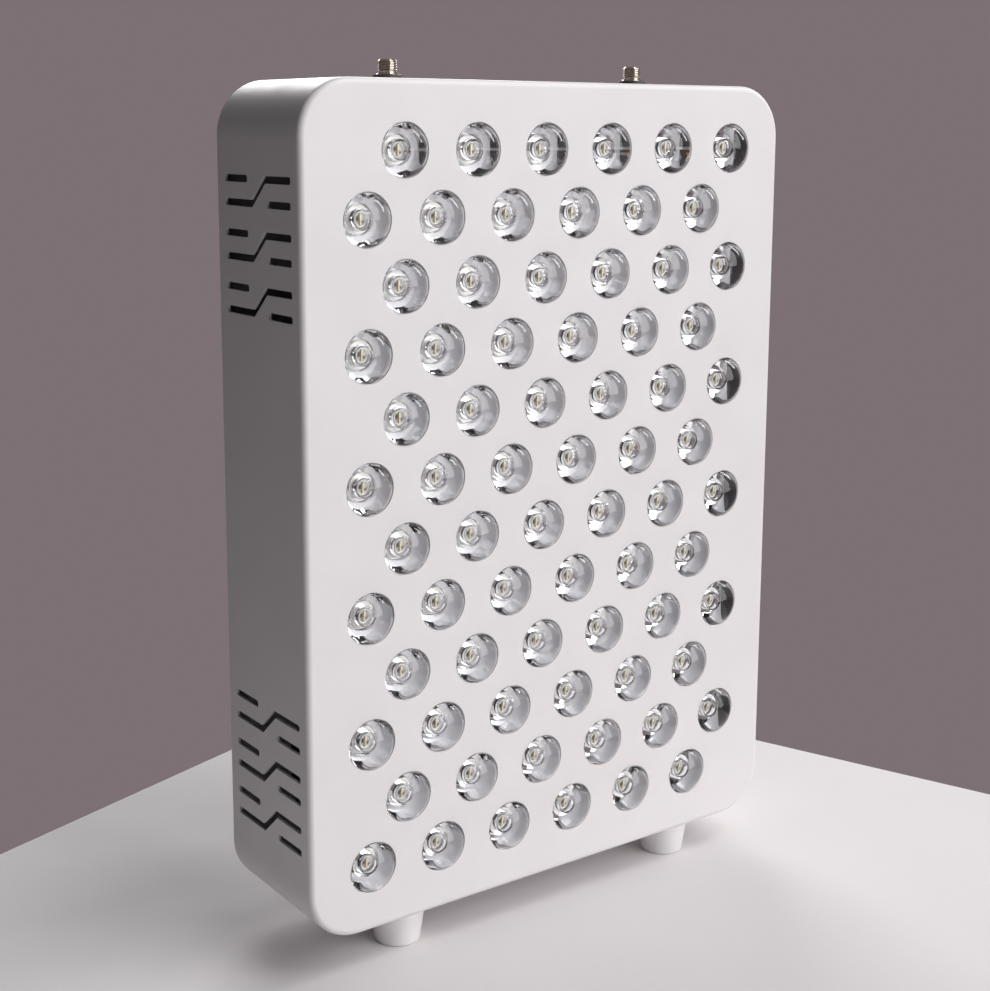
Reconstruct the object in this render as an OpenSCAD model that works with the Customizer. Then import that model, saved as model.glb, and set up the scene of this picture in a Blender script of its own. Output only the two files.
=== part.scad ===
/* [Housing] */
// Width of the housing across the front
body_w = 255; // [252:1:300]
// Height of the housing without feet and studs
body_h = 353; // [350:1:420]
// Depth of the housing
body_d = 68.5; // [67:0.5:90]
// Thickness of the housing's sheet
wall = 1.5; // [1:0.1:2]
// Corner radius of the front
corner_r = 23; // [18:1:26]
// Radius of the rounded front edge
front_fillet = 2.5; // [2.3:0.1:4]

/* [Lenses and LEDs] */
// Least distance from the housing's top and bottom to a lens axis
field_end = 27.5; // [24:0.5:40]
// Least distance from the housing's sides to a lens axis
field_side = 29.5; // [26:0.5:45]
// Distance between rows
row_pitch = 27; // [26:0.5:27.5]
// Distance between lenses in one row
col_pitch = 35.4; // [33:0.2:36]
// Radius of a lens where it passes the front
lens_r = 11; // [9:0.1:11.5]
// Gap between a lens and its hole
lens_gap = 0.2; // [0.1:0.05:0.5]
// Height of the dome in front of the panel
dome_h = 5.5; // [3:0.1:7]
// Width of the flange that holds a lens behind the front
lens_flange_w = 1.6; // [1:0.1:2.5]
// Thickness of that flange
lens_flange_t = 1.2; // [0.8:0.1:2]
// Width of the ring on which a lens stands on its board
lens_foot_w = 0.9; // [0.6:0.1:1.5]
// Radius of an LED's round base
led_base_r = 4; // [3:0.1:5]
// Height of an LED's round base
led_base_h = 1.6; // [1:0.1:2]
// Radius of an LED's own dome
led_dome_r = 2.8; // [2:0.1:2.9]
// Gap between an LED and the pocket of its lens
led_gap = 0.4; // [0.3:0.1:1]

/* [Boards and heat sinks] */
// Depth of the boards' front face behind the front of the panel
board_depth = 9; // [8.5:0.5:16]
// Thickness of a board
board_t = 1.6; // [1:0.1:2.4]
// Board edge beyond the outermost lens axis
board_margin = 13; // [9:0.5:13.5]
// Gap between the two boards
board_split = 2; // [1:0.5:6]
// Side strip of a board left free for its leads
sink_side_inset = 8; // [6:0.5:12]
// Free edge of a board above and below its heat sink
sink_end_inset = 2; // [1:0.5:4]
// Thickness of a heat sink's base
sink_base_t = 4; // [3:0.5:6]
// Room for wires between the fins and the drivers
wire_room = 5.7; // [5:0.1:12]
// Thickness of a fin
fin_t = 1.6; // [1:0.1:2]
// Distance across the flats of a standoff
standoff_af = 5.5; // [5:0.1:6]

/* [Vents] */
// Distance from the housing's top and bottom to the middle of a vent group
vent_end = 66.5; // [62:0.5:75]
// Distance between repeats in a vent group
vent_pitch = 22; // [20:0.5:26]
// Distance between the two slot lines of a repeat
vent_row_gap = 9.7; // [8:0.1:12]
// Height of a slot
slot_h = 3; // [2.4:0.1:4]
// Radius of a slot's corners
slot_r = 1; // [0.5:0.1:1.1]
// Depth at which the slots begin
vent_front = 7; // [5:0.5:10]
// Distance from the back edge to the slots
vent_rear = 6.5; // [5.5:0.5:10]
// Length of a short slot
short_slot = 19.4; // [15:0.2:20]
// Depth at which a long slot leaves its rear line
bend_back = 39; // [36:0.5:41]
// Depth at which a long slot reaches its front line
bend_front = 28; // [27:0.5:33]

/* [Back cover] */
// Thickness of the back cover
cover_t = 1.2; // [1:0.1:2]
// Gap between the cover and the housing's walls
cover_gap = 0.3; // [0.2:0.05:0.6]
// Radius of a cover post
post_r = 3.5; // [3:0.1:4]
// Distance from the housing's outside to a corner post
corner_post_inset = 13; // [12.5:0.5:14]
// Distance from the housing's outside to a post in the middle of a side
side_post_inset = 7; // [6.5:0.1:7.5]

/* [Screws] */
// Radius of the small screws
screw_r = 1.5; // [1.2:0.1:1.6]
// Head radius of the small screws
screw_head_r = 2.8; // [2.4:0.1:3]
// Head height of the screws
screw_head_h = 1.8; // [1.2:0.1:2.2]
// Width of the cross recess in a screw head
recess_w = 0.8; // [0.6:0.1:1]
// Width of a screw head's top as a share of its base
head_taper = 0.8; // [0.7:0.05:0.95]
// Length of a screw that stands out behind its thread
screw_tip = 1; // [0.5:0.1:2]
// Gap of a screw in a plain hole
hole_gap = 0.25; // [0.15:0.05:0.4]
// Gap of a screw in its thread
thread_gap = 0.05; // [0.03:0.01:0.08]
// Length of screw held in a thread
grip = 8; // [6:0.5:10]

/* [Fans] */
// Side of the square fan frame
fan_size = 80; // [78:0.5:80]
// Thickness of a fan
fan_t = 25; // [24:0.5:25]
// Distance from a fan's edge to its fixing holes
fan_hole_inset = 4.25; // [4:0.05:5]
// Least width of the frame beside the air passage
fan_rim = 2; // [2:0.1:3]
// Thickness of the ring around the air passage
fan_ring_t = 1.8; // [1.2:0.1:1.9]
// Thickness of the fan frame's flanges
fan_flange_t = 4; // [3:0.1:5]
// Radius of a fan screw
fan_screw_r = 2; // [1.8:0.1:2.1]
// Head radius of a fan screw
fan_head_r = 3.3; // [3:0.1:3.5]
// Radius of the rotor's hub
hub_r = 17.5; // [16:0.1:19]
// Wall of the hub
hub_wall = 1.8; // [1.2:0.1:2.5]
// Gap between blade tips and the air passage
tip_gap = 1.2; // [0.8:0.1:2]
// Number of blades
blades = 7; // [5:1:9]
// Thickness of a blade
blade_t = 1.6; // [1.2:0.1:2]
// Slope of a blade against the fan's axis
blade_slope = 48; // [40:1:55]
// Radius of the rotor's shaft
shaft_r = 1.5; // [1.2:0.1:2]
// Running gap of the shaft in its bearing
shaft_gap = 0.05; // [0.03:0.01:0.09]
// Outer radius of the bearing tube
bearing_r = 4.5; // [3.5:0.1:5]
// Thickness of the guard's bars
guard_bar = 1.6; // [1.2:0.1:2]
// Number of rings in a guard
guard_rings = 5; // [3:1:6]
// Radius of a guard's innermost ring
guard_inner_r = 4.6; // [4:0.1:8]
// Distance from a guard's outermost ring to the edge of the air passage
guard_margin = 3; // [2:0.1:5]

/* [Drivers] */
// Length of a driver's case
driver_w = 150; // [120:1:160]
// Height of a driver's case
driver_h = 42; // [36:1:44]
// Thickness of a driver's case
driver_t = 28; // [24:0.5:28]
// Height of each driver's axis above and below the middle
driver_z = 28; // [26:1:32]
// Length of a driver's fixing tab
tab_l = 10; // [8:0.5:12]
// Height of a driver's fixing tab
tab_h = 33.6; // [28:0.2:34]
// Thickness of a driver's fixing tab
tab_t = 3; // [2:0.1:4]
// Distance between the two screws of a tab
tab_hole_pitch = 21; // [18:0.5:22]

/* [Inlet and switches] */
// Height of the inlet and switches above the housing's bottom
port_rise = 51.5; // [46:0.5:58]
// Distance from the housing's side to the middle of the inlet
inlet_inset = 47.5; // [40:0.5:55]
// Width of the inlet's flange
inlet_flange_w = 50; // [48:0.5:52]
// Height of the inlet's flange
inlet_flange_h = 24; // [23.5:0.5:28]
// Corner radius of the inlet's flange
inlet_corner_r = 4; // [2:0.5:6]
// Thickness of the inlet's flange
inlet_flange_t = 2.5; // [2:0.1:3]
// Distance between the inlet's screws
inlet_screw_pitch = 40; // [38:0.5:42]
// Width of the socket in the inlet
socket_w = 24.4; // [24:0.1:25]
// Height of the socket in the inlet
socket_h = 16.4; // [16:0.1:17]
// Depth of the socket
socket_d = 18; // [17:0.5:19]
// Cut corner of the socket
socket_chamfer = 4; // [3:0.1:5]
// Wall of the inlet's body
inlet_wall = 2; // [1.5:0.1:2.2]
// Length of the contact blades in the socket
blade_l = 12.5; // [11:0.5:13]
// Width of a contact blade
contact_w = 4; // [3.5:0.1:4.5]
// Thickness of a contact blade
contact_t = 2; // [1.6:0.1:2.4]
// Distance between the two outer contacts
contact_pitch = 14; // [13:0.1:14.5]
// Offset of the middle contact
contact_offset = 4; // [3.5:0.1:4.2]
// Length of the solder tails and switch terminals
tail_l = 8; // [6:0.5:9]
// Distance from the housing's side to the middle of the outer switch
switch_inset = 35.5; // [32:0.5:42]
// Distance between the two switches
switch_pitch = 26; // [20:1:28]
// Width of a switch's bezel
bezel_w = 15; // [14.5:0.1:17]
// Height of a switch's bezel
bezel_h = 21; // [20.8:0.1:23]
// Corner radius of a switch's bezel
bezel_corner_r = 1.5; // [0.5:0.1:2]
// Thickness of a switch's bezel
bezel_t = 2; // [1.6:0.1:2.4]
// Width of the well in which a rocker sits
well_w = 10.9; // [10:0.1:11.2]
// Height of the well in which a rocker sits
well_h = 17.6; // [17.4:0.1:18.2]
// Depth of the well behind the cover's outside
well_d = 8; // [7:0.5:9]
// Wall of a switch's body
switch_wall = 1; // [0.8:0.1:1.2]
// Height of a switch's body behind the cover
switch_d = 13; // [12:0.5:15]
// Side gap between a rocker and its well
rocker_gap = 0.3; // [0.2:0.05:0.5]
// Gap at the ends of a rocker
rocker_end_gap = 0.6; // [0.6:0.05:0.9]
// Height of a rocker's ends above its pivot
rocker_end_h = 5.5; // [4.5:0.1:6.5]
// Height of a rocker's middle above its pivot
rocker_mid_h = 3.6; // [3:0.1:4]
// Depth of a rocker below its pivot
rocker_root = 4; // [3:0.1:5]
// Tilt of a rocker to either side
rocker_tilt = 8; // [5:0.5:9]
// Radius of a rocker's pivot pins
pivot_r = 1.2; // [1:0.1:1.3]
// Running gap of the pivot pins
pivot_gap = 0.05; // [0.03:0.01:0.09]
// Gap at the end of a pivot pin
pivot_end_gap = 0.1; // [0.05:0.05:0.2]
// Wall left behind a pivot pin's hole
pivot_skin = 0.2; // [0.1:0.05:0.3]

/* [Studs and feet] */
// Distance of the hanging studs from the middle
stud_x = 66.3; // [55:0.1:90]
// Radius of a hanging stud
stud_r = 4; // [3:0.1:4.2]
// Height of a stud above the housing
stud_h = 8.5; // [6:0.1:14]
// Chamfer at a stud's top
stud_chamfer = 0.7; // [0.3:0.1:1]
// Radius of a stud's flange
stud_flange_r = 4.6; // [4.4:0.1:6]
// Thickness of a stud's flange
stud_flange_t = 0.5; // [0.3:0.1:1.5]
// Radius of a stud's washer
washer_r = 6.2; // [6:0.1:8]
// Thickness of a stud's washer
washer_t = 2.2; // [0.8:0.1:3]
// Distance across the flats of a stud's nut
stud_nut_af = 13; // [11:0.1:14]
// Height of a stud's nut
stud_nut_h = 6.5; // [4:0.1:7]
// Length of a stud that stands out behind its nut
stud_tip = 2; // [1:0.5:5]
// Distance of the feet from the middle
foot_x = 77; // [60:0.5:95]
// Distance of a foot's axis from the nearer face of the housing
foot_inset = 14; // [13:0.1:17]
// Height of a foot
foot_h = 15; // [12:0.5:25]
// Radius of a foot at the housing
foot_top_r = 12.25; // [11:0.05:13]
// Radius of a foot at the ground
foot_bottom_r = 10; // [9:0.1:11]
// Chamfer at a foot's ground edge
foot_chamfer = 0.8; // [0.4:0.1:1.5]
// Radius of a foot's screw
foot_screw_r = 2; // [1.5:0.1:2.5]
// Head radius of a foot's screw
foot_head_r = 3.6; // [3.3:0.1:4]
// Depth of the recess for a foot's screw head
foot_recess = 7; // [5:0.5:8]
// Distance across the flats of a foot's nut
foot_nut_af = 7; // [6.5:0.1:8]
// Height of a foot's nut
foot_nut_h = 3.2; // [2.5:0.1:4]

/* [Wires] */
// Radius of a wire
wire_r = 1; // [0.7:0.1:1.2]
// Cut corner of a wire's bends
wire_bend = 4; // [3:0.5:5]
// Room kept beside a wire
wire_gap = 5; // [4.8:0.1:5.4]
// Gap between the fins and the wires behind them
lane_gap = 1; // [0.5:0.1:1.5]
// Depth over which a board's lead slants
lead_slant = 12; // [8:0.5:14]

/* [Hidden] */
$fn = 48;
// Overlap used only to make cuts run clean through
cut = 1;
wire_sides = 8;
bend_steps = 4;

// Height of the middle of the housing and of the lens field
grid_z = foot_h + body_h / 2;
// Furthest reach of a resting rocker behind the back cover
rocker_half = well_h / 2 - rocker_end_gap;
rear_proud = rocker_half * sin(rocker_tilt) + rocker_end_h * cos(rocker_tilt);
// The domes and the rockers bound the depth, and the origin lies midway between them
front_y = -(body_d + rear_proud - dome_h) / 2;
rear_y = front_y + body_d;
inner_rear = body_d - cover_t;
vent_z = body_h / 2 - vent_end;
vent_back = body_d - vent_rear;

// Lens field: as many lenses as the housing holds, in an even number of staggered rows
lens_rows = 2 * floor(((body_h - 2 * field_end) / row_pitch + 1) / 2);
lens_cols = floor((body_w - 2 * field_side) / col_pitch + 1 / 2);
function lens_x(row, col) = (col - (lens_cols - 1) / 2 + (row % 2 == 1 ? 1 : -1) / 4) * col_pitch;
function lens_z(row) = grid_z + ((lens_rows + 1) / 2 - row) * row_pitch;
grid_half_w = ((lens_cols - 1) / 2 + 1 / 4) * col_pitch;
grid_half_h = (lens_rows - 1) / 2 * row_pitch;
dome_sphere_r = (lens_r * lens_r + dome_h * dome_h) / (2 * dome_h);
lens_flange_r = lens_r + lens_flange_w;
lens_cone_depth = wall + lens_flange_t;
pocket_r = led_base_r + led_gap;
led_h = led_base_h + led_dome_r;
pocket_d = led_h + led_gap;

// Upper and lower half of the panel
halves = ["upper", "lower"];
half_sign = [1, -1];
half_rows = [[1, lens_rows / 2], [lens_rows / 2 + 1, lens_rows]];
board_w = 2 * (grid_half_w + board_margin);
board_h = grid_half_h + board_margin - board_split / 2;
function board_z(half) = grid_z + half_sign[half] * (board_split + board_h) / 2;
sink_depth = board_depth + board_t;
standoff_l = board_depth - wall;
standoff_grip = min(grip, standoff_l - screw_tip);
sink_w = board_w - 2 * sink_side_inset;
driver_face = inner_rear - driver_t;
sink_end = driver_face - wire_room;
function fan_z(half) = grid_z + half_sign[half] * vent_z;
// Between two lenses of the first and the last row of each half
function fixing_points(half) = [
    for (row = half_rows[half], col = [0, lens_cols - 2]) [lens_x(row, col) + col_pitch / 2, lens_z(row)]
];
// Fins keep clear of the rows, where the fixing screws are
function fin_heights(half) = concat(
    [
        for (row = [half_rows[half][0] : half_rows[half][1]], side = [-1, 1])
            lens_z(row) + side * row_pitch / 6
    ],
    [for (row = [half_rows[half][0] : half_rows[half][1] - 1]) lens_z(row) - row_pitch / 2]
);

// Fixing posts of the cover, as offsets from the middle
corner_post = [body_w / 2 - corner_post_inset, body_h / 2 - corner_post_inset];
side_post = [body_w / 2 - side_post_inset, body_h / 2 - side_post_inset];
post_points = concat(
    [for (x = [-1, 1], z = [-1, 1]) [x * corner_post[0], z * corner_post[1]]],
    [for (s = [-1, 1]) [s * side_post[0], 0]],
    [for (s = [-1, 1]) [0, s * side_post[1]]]
);
fan_hole_pitch = fan_size - 2 * fan_hole_inset;
fan_bore_r = fan_size / 2 - fan_rim;
fan_points = [for (x = [-1, 1], z = [-1, 1]) [x, z] * fan_hole_pitch / 2];
driver_points = [for (x = [-1, 1], z = [-1, 1]) [x * (driver_w + tab_l) / 2, z * tab_hole_pitch / 2]];
foot_points = [for (x = [-1, 1], t = [foot_inset, body_d - foot_inset]) [x * foot_x, t]];
foot_names = ["foot_front_left", "foot_back_left", "foot_front_right", "foot_back_right"];

// Fan layout along its own axis, from the front of the frame to the cover
fan_depth = inner_rear - fan_t;
motor_base_t = 3;
hub_front = 5;
hub_rear_gap = 3;
hub_back = fan_t - hub_rear_gap;
bearing_end_gap = 3;
bearing_h = hub_back - hub_wall - bearing_end_gap;
stator_h = 10;
stator_gap = 1.5;
blade_r = fan_bore_r - tip_gap;
blade_margin = 1;
strut_w = 3;

// Channels: red and near infrared take turns along each row
channels = ["red", "nir"];
driver_side = [1, -1];
function driver_axis_z(channel) = grid_z + driver_side[channel] * driver_z;
function rocker_x(channel) = switch_inset - body_w / 2 + (1 - channel) * switch_pitch;

// Inlet and switches
port_z = foot_h + port_rise;
inlet_x = body_w / 2 - inlet_inset;
inlet_body_w = socket_w + 2 * inlet_wall;
inlet_body_h = socket_h + 2 * inlet_wall;
socket_floor = inlet_flange_t - socket_d;
inlet_back = socket_floor - inlet_wall;
contact_points = [[-contact_pitch / 2, 0], [contact_pitch / 2, 0], [0, contact_offset]];
terminal_spread = 4.5;
terminal_t = 0.8;
terminal_w = 4.8;
switch_body_w = well_w + 2 * switch_wall;
switch_body_h = well_h + 2 * switch_wall;
pivot_hole = switch_wall - pivot_skin;
pivot_pin = pivot_hole - pivot_end_gap;

// Studs and feet
top_z = foot_h + body_h;
stud_t = body_d / 2;
stud_root = wall + stud_nut_h + stud_tip;
foot_screw_l = foot_h - foot_recess + wall + foot_nut_h + screw_tip;

// Wires run in the gap behind the fins
wire_lane = sink_end + lane_gap + wire_r;
wire_floor = fan_z(1) - fan_size / 2 - wire_gap;
// A direction that no wire follows, from which the rings of its tube are turned
aside = [0.31, 0.52, 0.79];

lens_row_names = [for (row = [1 : lens_rows]) str("lens_row_", row < 10 ? "0" : "", row)];
function pair(stem, ends) = [for (end = ends) str(stem, "_", end)];

// Local +Z runs from the front of the panel to the back, starting at the given depth
module inward(x, depth, z) {
    translate([x, front_y + depth, z]) rotate([-90, 0, 0]) children();
}

// Outline in the plane of depth and height, extruded across the panel
module across(length) {
    rotate([90, 0, 90]) linear_extrude(length, center = true) children();
}

module rounded_rect(w, h, r) {
    square([w - 2 * r, h], center = true);
    square([w, h - 2 * r], center = true);
    for (x = [-1, 1], y = [-1, 1]) translate([x * (w / 2 - r), y * (h / 2 - r)]) circle(r);
}

// Half section of a block whose edge at height 0 is rounded
module edge_section(reach, depth, fillet) {
    translate([0, fillet]) square([reach, depth - fillet]);
    square([reach - fillet, fillet]);
    translate([reach - fillet, fillet]) circle(fillet);
}

// Block with round corners and a rounded edge all round its face at height 0
module filleted_block(w, h, depth, r, fillet) {
    flat_w = w - 2 * r;
    flat_h = h - 2 * r;
    translate([-flat_w / 2, -flat_h / 2, 0]) cube([flat_w, flat_h, depth]);
    for (turn = [0, 180]) rotate(turn) {
        translate([flat_w / 2, 0, 0])
            rotate([90, 0, 0]) linear_extrude(flat_h, center = true) edge_section(r, depth, fillet);
        translate([0, flat_h / 2, 0])
            rotate([90, 0, 90]) linear_extrude(flat_w, center = true) edge_section(r, depth, fillet);
        translate([flat_w / 2, flat_h / 2, 0]) rotate_extrude(angle = 90) edge_section(r, depth, fillet);
        translate([-flat_w / 2, flat_h / 2, 0])
            rotate(90) rotate_extrude(angle = 90) edge_section(r, depth, fillet);
    }
}

// Screw whose head stands on height 0 and whose shank points down
module screw(r, length, head_r) {
    difference() {
        union() {
            translate([0, 0, -length]) cylinder(r = r, h = length);
            cylinder(r1 = head_r, r2 = head_r * head_taper, h = screw_head_h);
        }
        for (turn = [0, 90]) rotate(turn)
            translate([-head_r / 2, -recess_w / 2, screw_head_h / 2]) cube([head_r, recess_w, screw_head_h]);
    }
}

module hex_nut(af, h, bore_r) {
    difference() {
        cylinder(r = af / sqrt(3), h = h, $fn = 6);
        translate([0, 0, -cut]) cylinder(r = bore_r, h = h + 2 * cut);
    }
}

// Housing
module rounded_slot(from, to, line) {
    translate([(from + to) / 2, line]) rounded_rect(to - from, slot_h, slot_r);
}

// One repeat of the vent pattern: two short slots and a long slot that changes lines
module vent_repeat() {
    high = vent_row_gap / 2;
    low = -high;
    half = slot_h / 2;
    mitre = half * tan(atan2(vent_row_gap, bend_back - bend_front) / 2);
    rounded_slot(vent_back - short_slot, vent_back, high);
    rounded_slot(vent_front, vent_front + short_slot, low);
    rounded_slot(vent_front, bend_front - mitre, high);
    rounded_slot(bend_back + mitre, vent_back, low);
    polygon([
        [vent_back - 2 * slot_r, low - half], [bend_back - mitre, low - half],
        [bend_front - mitre, high - half], [vent_front + 2 * slot_r, high - half],
        [vent_front + 2 * slot_r, high + half], [bend_front + mitre, high + half],
        [bend_back + mitre, low + half], [vent_back - 2 * slot_r, low + half]
    ]);
}

module side_vents() {
    for (group = [-1, 1], repeat = [-1, 0, 1])
        translate([0, front_y, grid_z + group * vent_z + repeat * vent_pitch])
            across(body_w + 2 * cut) vent_repeat();
}

module front_shell() {
    color("whitesmoke") difference() {
        inward(0, 0, grid_z) filleted_block(body_w, body_h, body_d, corner_r, front_fillet);
        inward(0, wall, grid_z)
            filleted_block(
                body_w - 2 * wall, body_h - 2 * wall, body_d, corner_r - wall, front_fillet - wall
            );
        for (row = [1 : lens_rows], col = [0 : lens_cols - 1])
            inward(lens_x(row, col), -cut, lens_z(row)) cylinder(r = lens_r + lens_gap, h = wall + 2 * cut);
        side_vents();
        for (x = [-stud_x, stud_x])
            translate([x, front_y + stud_t, top_z - wall - cut])
                cylinder(r = stud_r + hole_gap, h = wall + 2 * cut);
        for (p = foot_points)
            translate([p[0], front_y + p[1], foot_h - cut])
                cylinder(r = foot_screw_r + hole_gap, h = wall + 2 * cut);
    }
}

// Lenses and LEDs
module lens() {
    rotate_extrude() difference() {
        union() {
            intersection() {
                translate([0, dome_sphere_r - dome_h]) circle(dome_sphere_r);
                translate([0, -dome_h]) square([lens_r, dome_h]);
            }
            square([lens_r, wall]);
            translate([0, wall]) square([lens_flange_r, lens_flange_t]);
            polygon([
                [0, lens_cone_depth], [lens_r, lens_cone_depth],
                [pocket_r + lens_foot_w, board_depth], [0, board_depth]
            ]);
        }
        translate([0, board_depth - pocket_d]) square([pocket_r, pocket_d + cut]);
    }
}

module lens_row(row) {
    color("aliceblue") for (col = [0 : lens_cols - 1]) inward(lens_x(row, col), 0, lens_z(row)) lens();
}

module led() {
    cylinder(r = led_base_r, h = led_base_h);
    translate([0, 0, led_base_h]) intersection() {
        sphere(led_dome_r);
        cylinder(r = led_dome_r, h = led_dome_r);
    }
}

// LEDs of one channel on one board, facing the front
module led_group(half, channel) {
    color("khaki") for (row = [half_rows[half][0] : half_rows[half][1]], col = [0 : lens_cols - 1])
        if ((row + col) % 2 == channel)
            inward(lens_x(row, col), board_depth, lens_z(row)) mirror([0, 0, 1]) led();
}

// Boards, heat sinks and what holds them
module led_board(half) {
    color("white") difference() {
        inward(0, board_depth, board_z(half))
            translate([-board_w / 2, -board_h / 2, 0]) cube([board_w, board_h, board_t]);
        for (p = fixing_points(half))
            inward(p[0], board_depth - cut, p[1]) cylinder(r = screw_r + hole_gap, h = board_t + 2 * cut);
    }
}

module heat_sink(half) {
    base_h = board_h - 2 * sink_end_inset;
    color("silver") difference() {
        union() {
            inward(0, sink_depth, board_z(half))
                translate([-sink_w / 2, -base_h / 2, 0]) cube([sink_w, base_h, sink_base_t]);
            for (z = fin_heights(half))
                inward(0, sink_depth, z)
                    translate([-sink_w / 2, -fin_t / 2, 0]) cube([sink_w, fin_t, sink_end - sink_depth]);
        }
        for (p = fixing_points(half))
            inward(p[0], sink_depth - cut, p[1])
                cylinder(r = screw_r + hole_gap, h = sink_base_t + 2 * cut);
    }
}

module board_standoffs() {
    color("goldenrod") for (half = [0, 1], p = fixing_points(half))
        inward(p[0], wall, p[1]) hex_nut(standoff_af, standoff_l, screw_r + thread_gap);
}

module heat_sink_screws() {
    color("silver") for (half = [0, 1], p = fixing_points(half))
        inward(p[0], sink_depth + sink_base_t, p[1])
            screw(screw_r, sink_base_t + board_t + standoff_grip, screw_head_r);
}

// Back cover
module back_cover() {
    color("whitesmoke") difference() {
        inward(0, inner_rear, grid_z) linear_extrude(cover_t)
            rounded_rect(
                body_w - 2 * (wall + cover_gap), body_h - 2 * (wall + cover_gap), corner_r - wall - cover_gap
            );
        for (p = post_points) cover_hole(p[0], grid_z + p[1], screw_r + hole_gap);
        for (half = [0, 1]) {
            cover_hole(0, fan_z(half), fan_bore_r);
            for (p = fan_points) cover_hole(p[0], fan_z(half) + p[1], fan_screw_r + hole_gap);
        }
        for (channel = [0, 1], p = driver_points)
            cover_hole(p[0], driver_axis_z(channel) + p[1], screw_r + hole_gap);
        for (side = [-1, 1]) cover_hole(inlet_x + side * inlet_screw_pitch / 2, port_z, screw_r + hole_gap);
        cover_window(inlet_x, inlet_body_w, inlet_body_h);
        for (channel = [0, 1]) cover_window(rocker_x(channel), switch_body_w, switch_body_h);
    }
}

module cover_hole(x, z, r) {
    inward(x, inner_rear - cut, z) cylinder(r = r, h = cover_t + 2 * cut);
}

module cover_window(x, w, h) {
    inward(x, inner_rear - cut, port_z) linear_extrude(cover_t + 2 * cut)
        square([w + 2 * hole_gap, h + 2 * hole_gap], center = true);
}

module cover_posts() {
    color("silver") for (p = post_points) inward(p[0], wall, grid_z + p[1]) difference() {
        cylinder(r = post_r, h = inner_rear - wall);
        translate([0, 0, inner_rear - wall - grip - cut])
            cylinder(r = screw_r + thread_gap, h = grip + 2 * cut);
    }
}

module cover_screws() {
    color("silver") for (p = post_points)
        inward(p[0], body_d, grid_z + p[1]) screw(screw_r, cover_t + grip, screw_head_r);
}

// Fans
module fan_frame(half) {
    color("dimgray") inward(0, fan_depth, fan_z(half)) {
        difference() {
            union() {
                for (z = [0, fan_t - fan_flange_t])
                    translate([-fan_size / 2, -fan_size / 2, z]) cube([fan_size, fan_size, fan_flange_t]);
                cylinder(r = fan_bore_r + fan_ring_t, h = fan_t);
            }
            translate([0, 0, -cut]) cylinder(r = fan_bore_r, h = fan_t + 2 * cut);
            for (p = fan_points)
                translate([p[0], p[1], -cut]) cylinder(r = fan_screw_r + thread_gap, h = fan_t + 2 * cut);
        }
        difference() {
            union() {
                cylinder(r = hub_r, h = motor_base_t);
                cylinder(r = bearing_r, h = bearing_h);
                for (turn = [45 : 90 : 315]) rotate(turn)
                    translate([hub_r - cut, -strut_w / 2, 0])
                        cube([fan_bore_r + fan_ring_t / 2 - hub_r + cut, strut_w, motor_base_t]);
            }
            translate([0, 0, motor_base_t / 2]) cylinder(r = shaft_r + shaft_gap, h = bearing_h);
        }
    }
}

// Coil pack round the bearing tube
module fan_stator(half) {
    color("peru") inward(0, fan_depth + motor_base_t, fan_z(half)) difference() {
        cylinder(r = hub_r - hub_wall - stator_gap, h = stator_h);
        translate([0, 0, -cut]) cylinder(r = bearing_r + thread_gap, h = stator_h + 2 * cut);
    }
}

// Sloping plate trimmed to the room between hub and tips
module fan_blade() {
    span = blade_r - hub_r + hub_wall / 2;
    low = hub_front + blade_margin;
    high = hub_back - blade_margin;
    intersection() {
        translate([0, 0, low]) difference() {
            cylinder(r = blade_r, h = high - low);
            translate([0, 0, -cut]) cylinder(r = blade_r - span, h = high - low + 2 * cut);
        }
        translate([blade_r - span / 2, 0, (low + high) / 2]) rotate([blade_slope, 0, 0])
            cube([2 * span, blade_t, 2 * (high - low)], center = true);
    }
}

module fan_rotor(half) {
    color("black") inward(0, fan_depth, fan_z(half)) {
        difference() {
            translate([0, 0, hub_front]) cylinder(r = hub_r, h = hub_back - hub_front);
            translate([0, 0, hub_front - cut])
                cylinder(r = hub_r - hub_wall, h = hub_back - hub_front - hub_wall + cut);
        }
        translate([0, 0, motor_base_t]) cylinder(r = shaft_r, h = hub_back - hub_wall / 2 - motor_base_t);
        for (i = [0 : blades - 1]) rotate(i * 360 / blades) fan_blade();
    }
}

// Guard: rings joined by four arms that end in screw eyes
module fan_guard(half) {
    arm = fan_hole_pitch / sqrt(2);
    ring_step = (fan_bore_r - guard_margin - guard_inner_r) / (guard_rings - 1);
    eye_r = fan_screw_r + hole_gap + guard_bar;
    color("silver") inward(0, body_d, fan_z(half)) linear_extrude(guard_bar) difference() {
        union() {
            for (ring = [0 : guard_rings - 1]) difference() {
                circle(guard_inner_r + ring * ring_step + guard_bar / 2);
                circle(guard_inner_r + ring * ring_step - guard_bar / 2);
            }
            for (turn = [45 : 90 : 315]) rotate(turn) {
                translate([guard_inner_r, -guard_bar / 2]) square([arm - guard_inner_r, guard_bar]);
                translate([arm, 0]) circle(eye_r);
            }
        }
        for (turn = [45 : 90 : 315]) rotate(turn) translate([arm, 0]) circle(fan_screw_r + hole_gap);
    }
}

module fan_screws() {
    color("silver") for (half = [0, 1], p = fan_points)
        inward(p[0], body_d + guard_bar, fan_z(half) + p[1])
            screw(fan_screw_r, guard_bar + cover_t + grip, fan_head_r);
}

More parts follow.
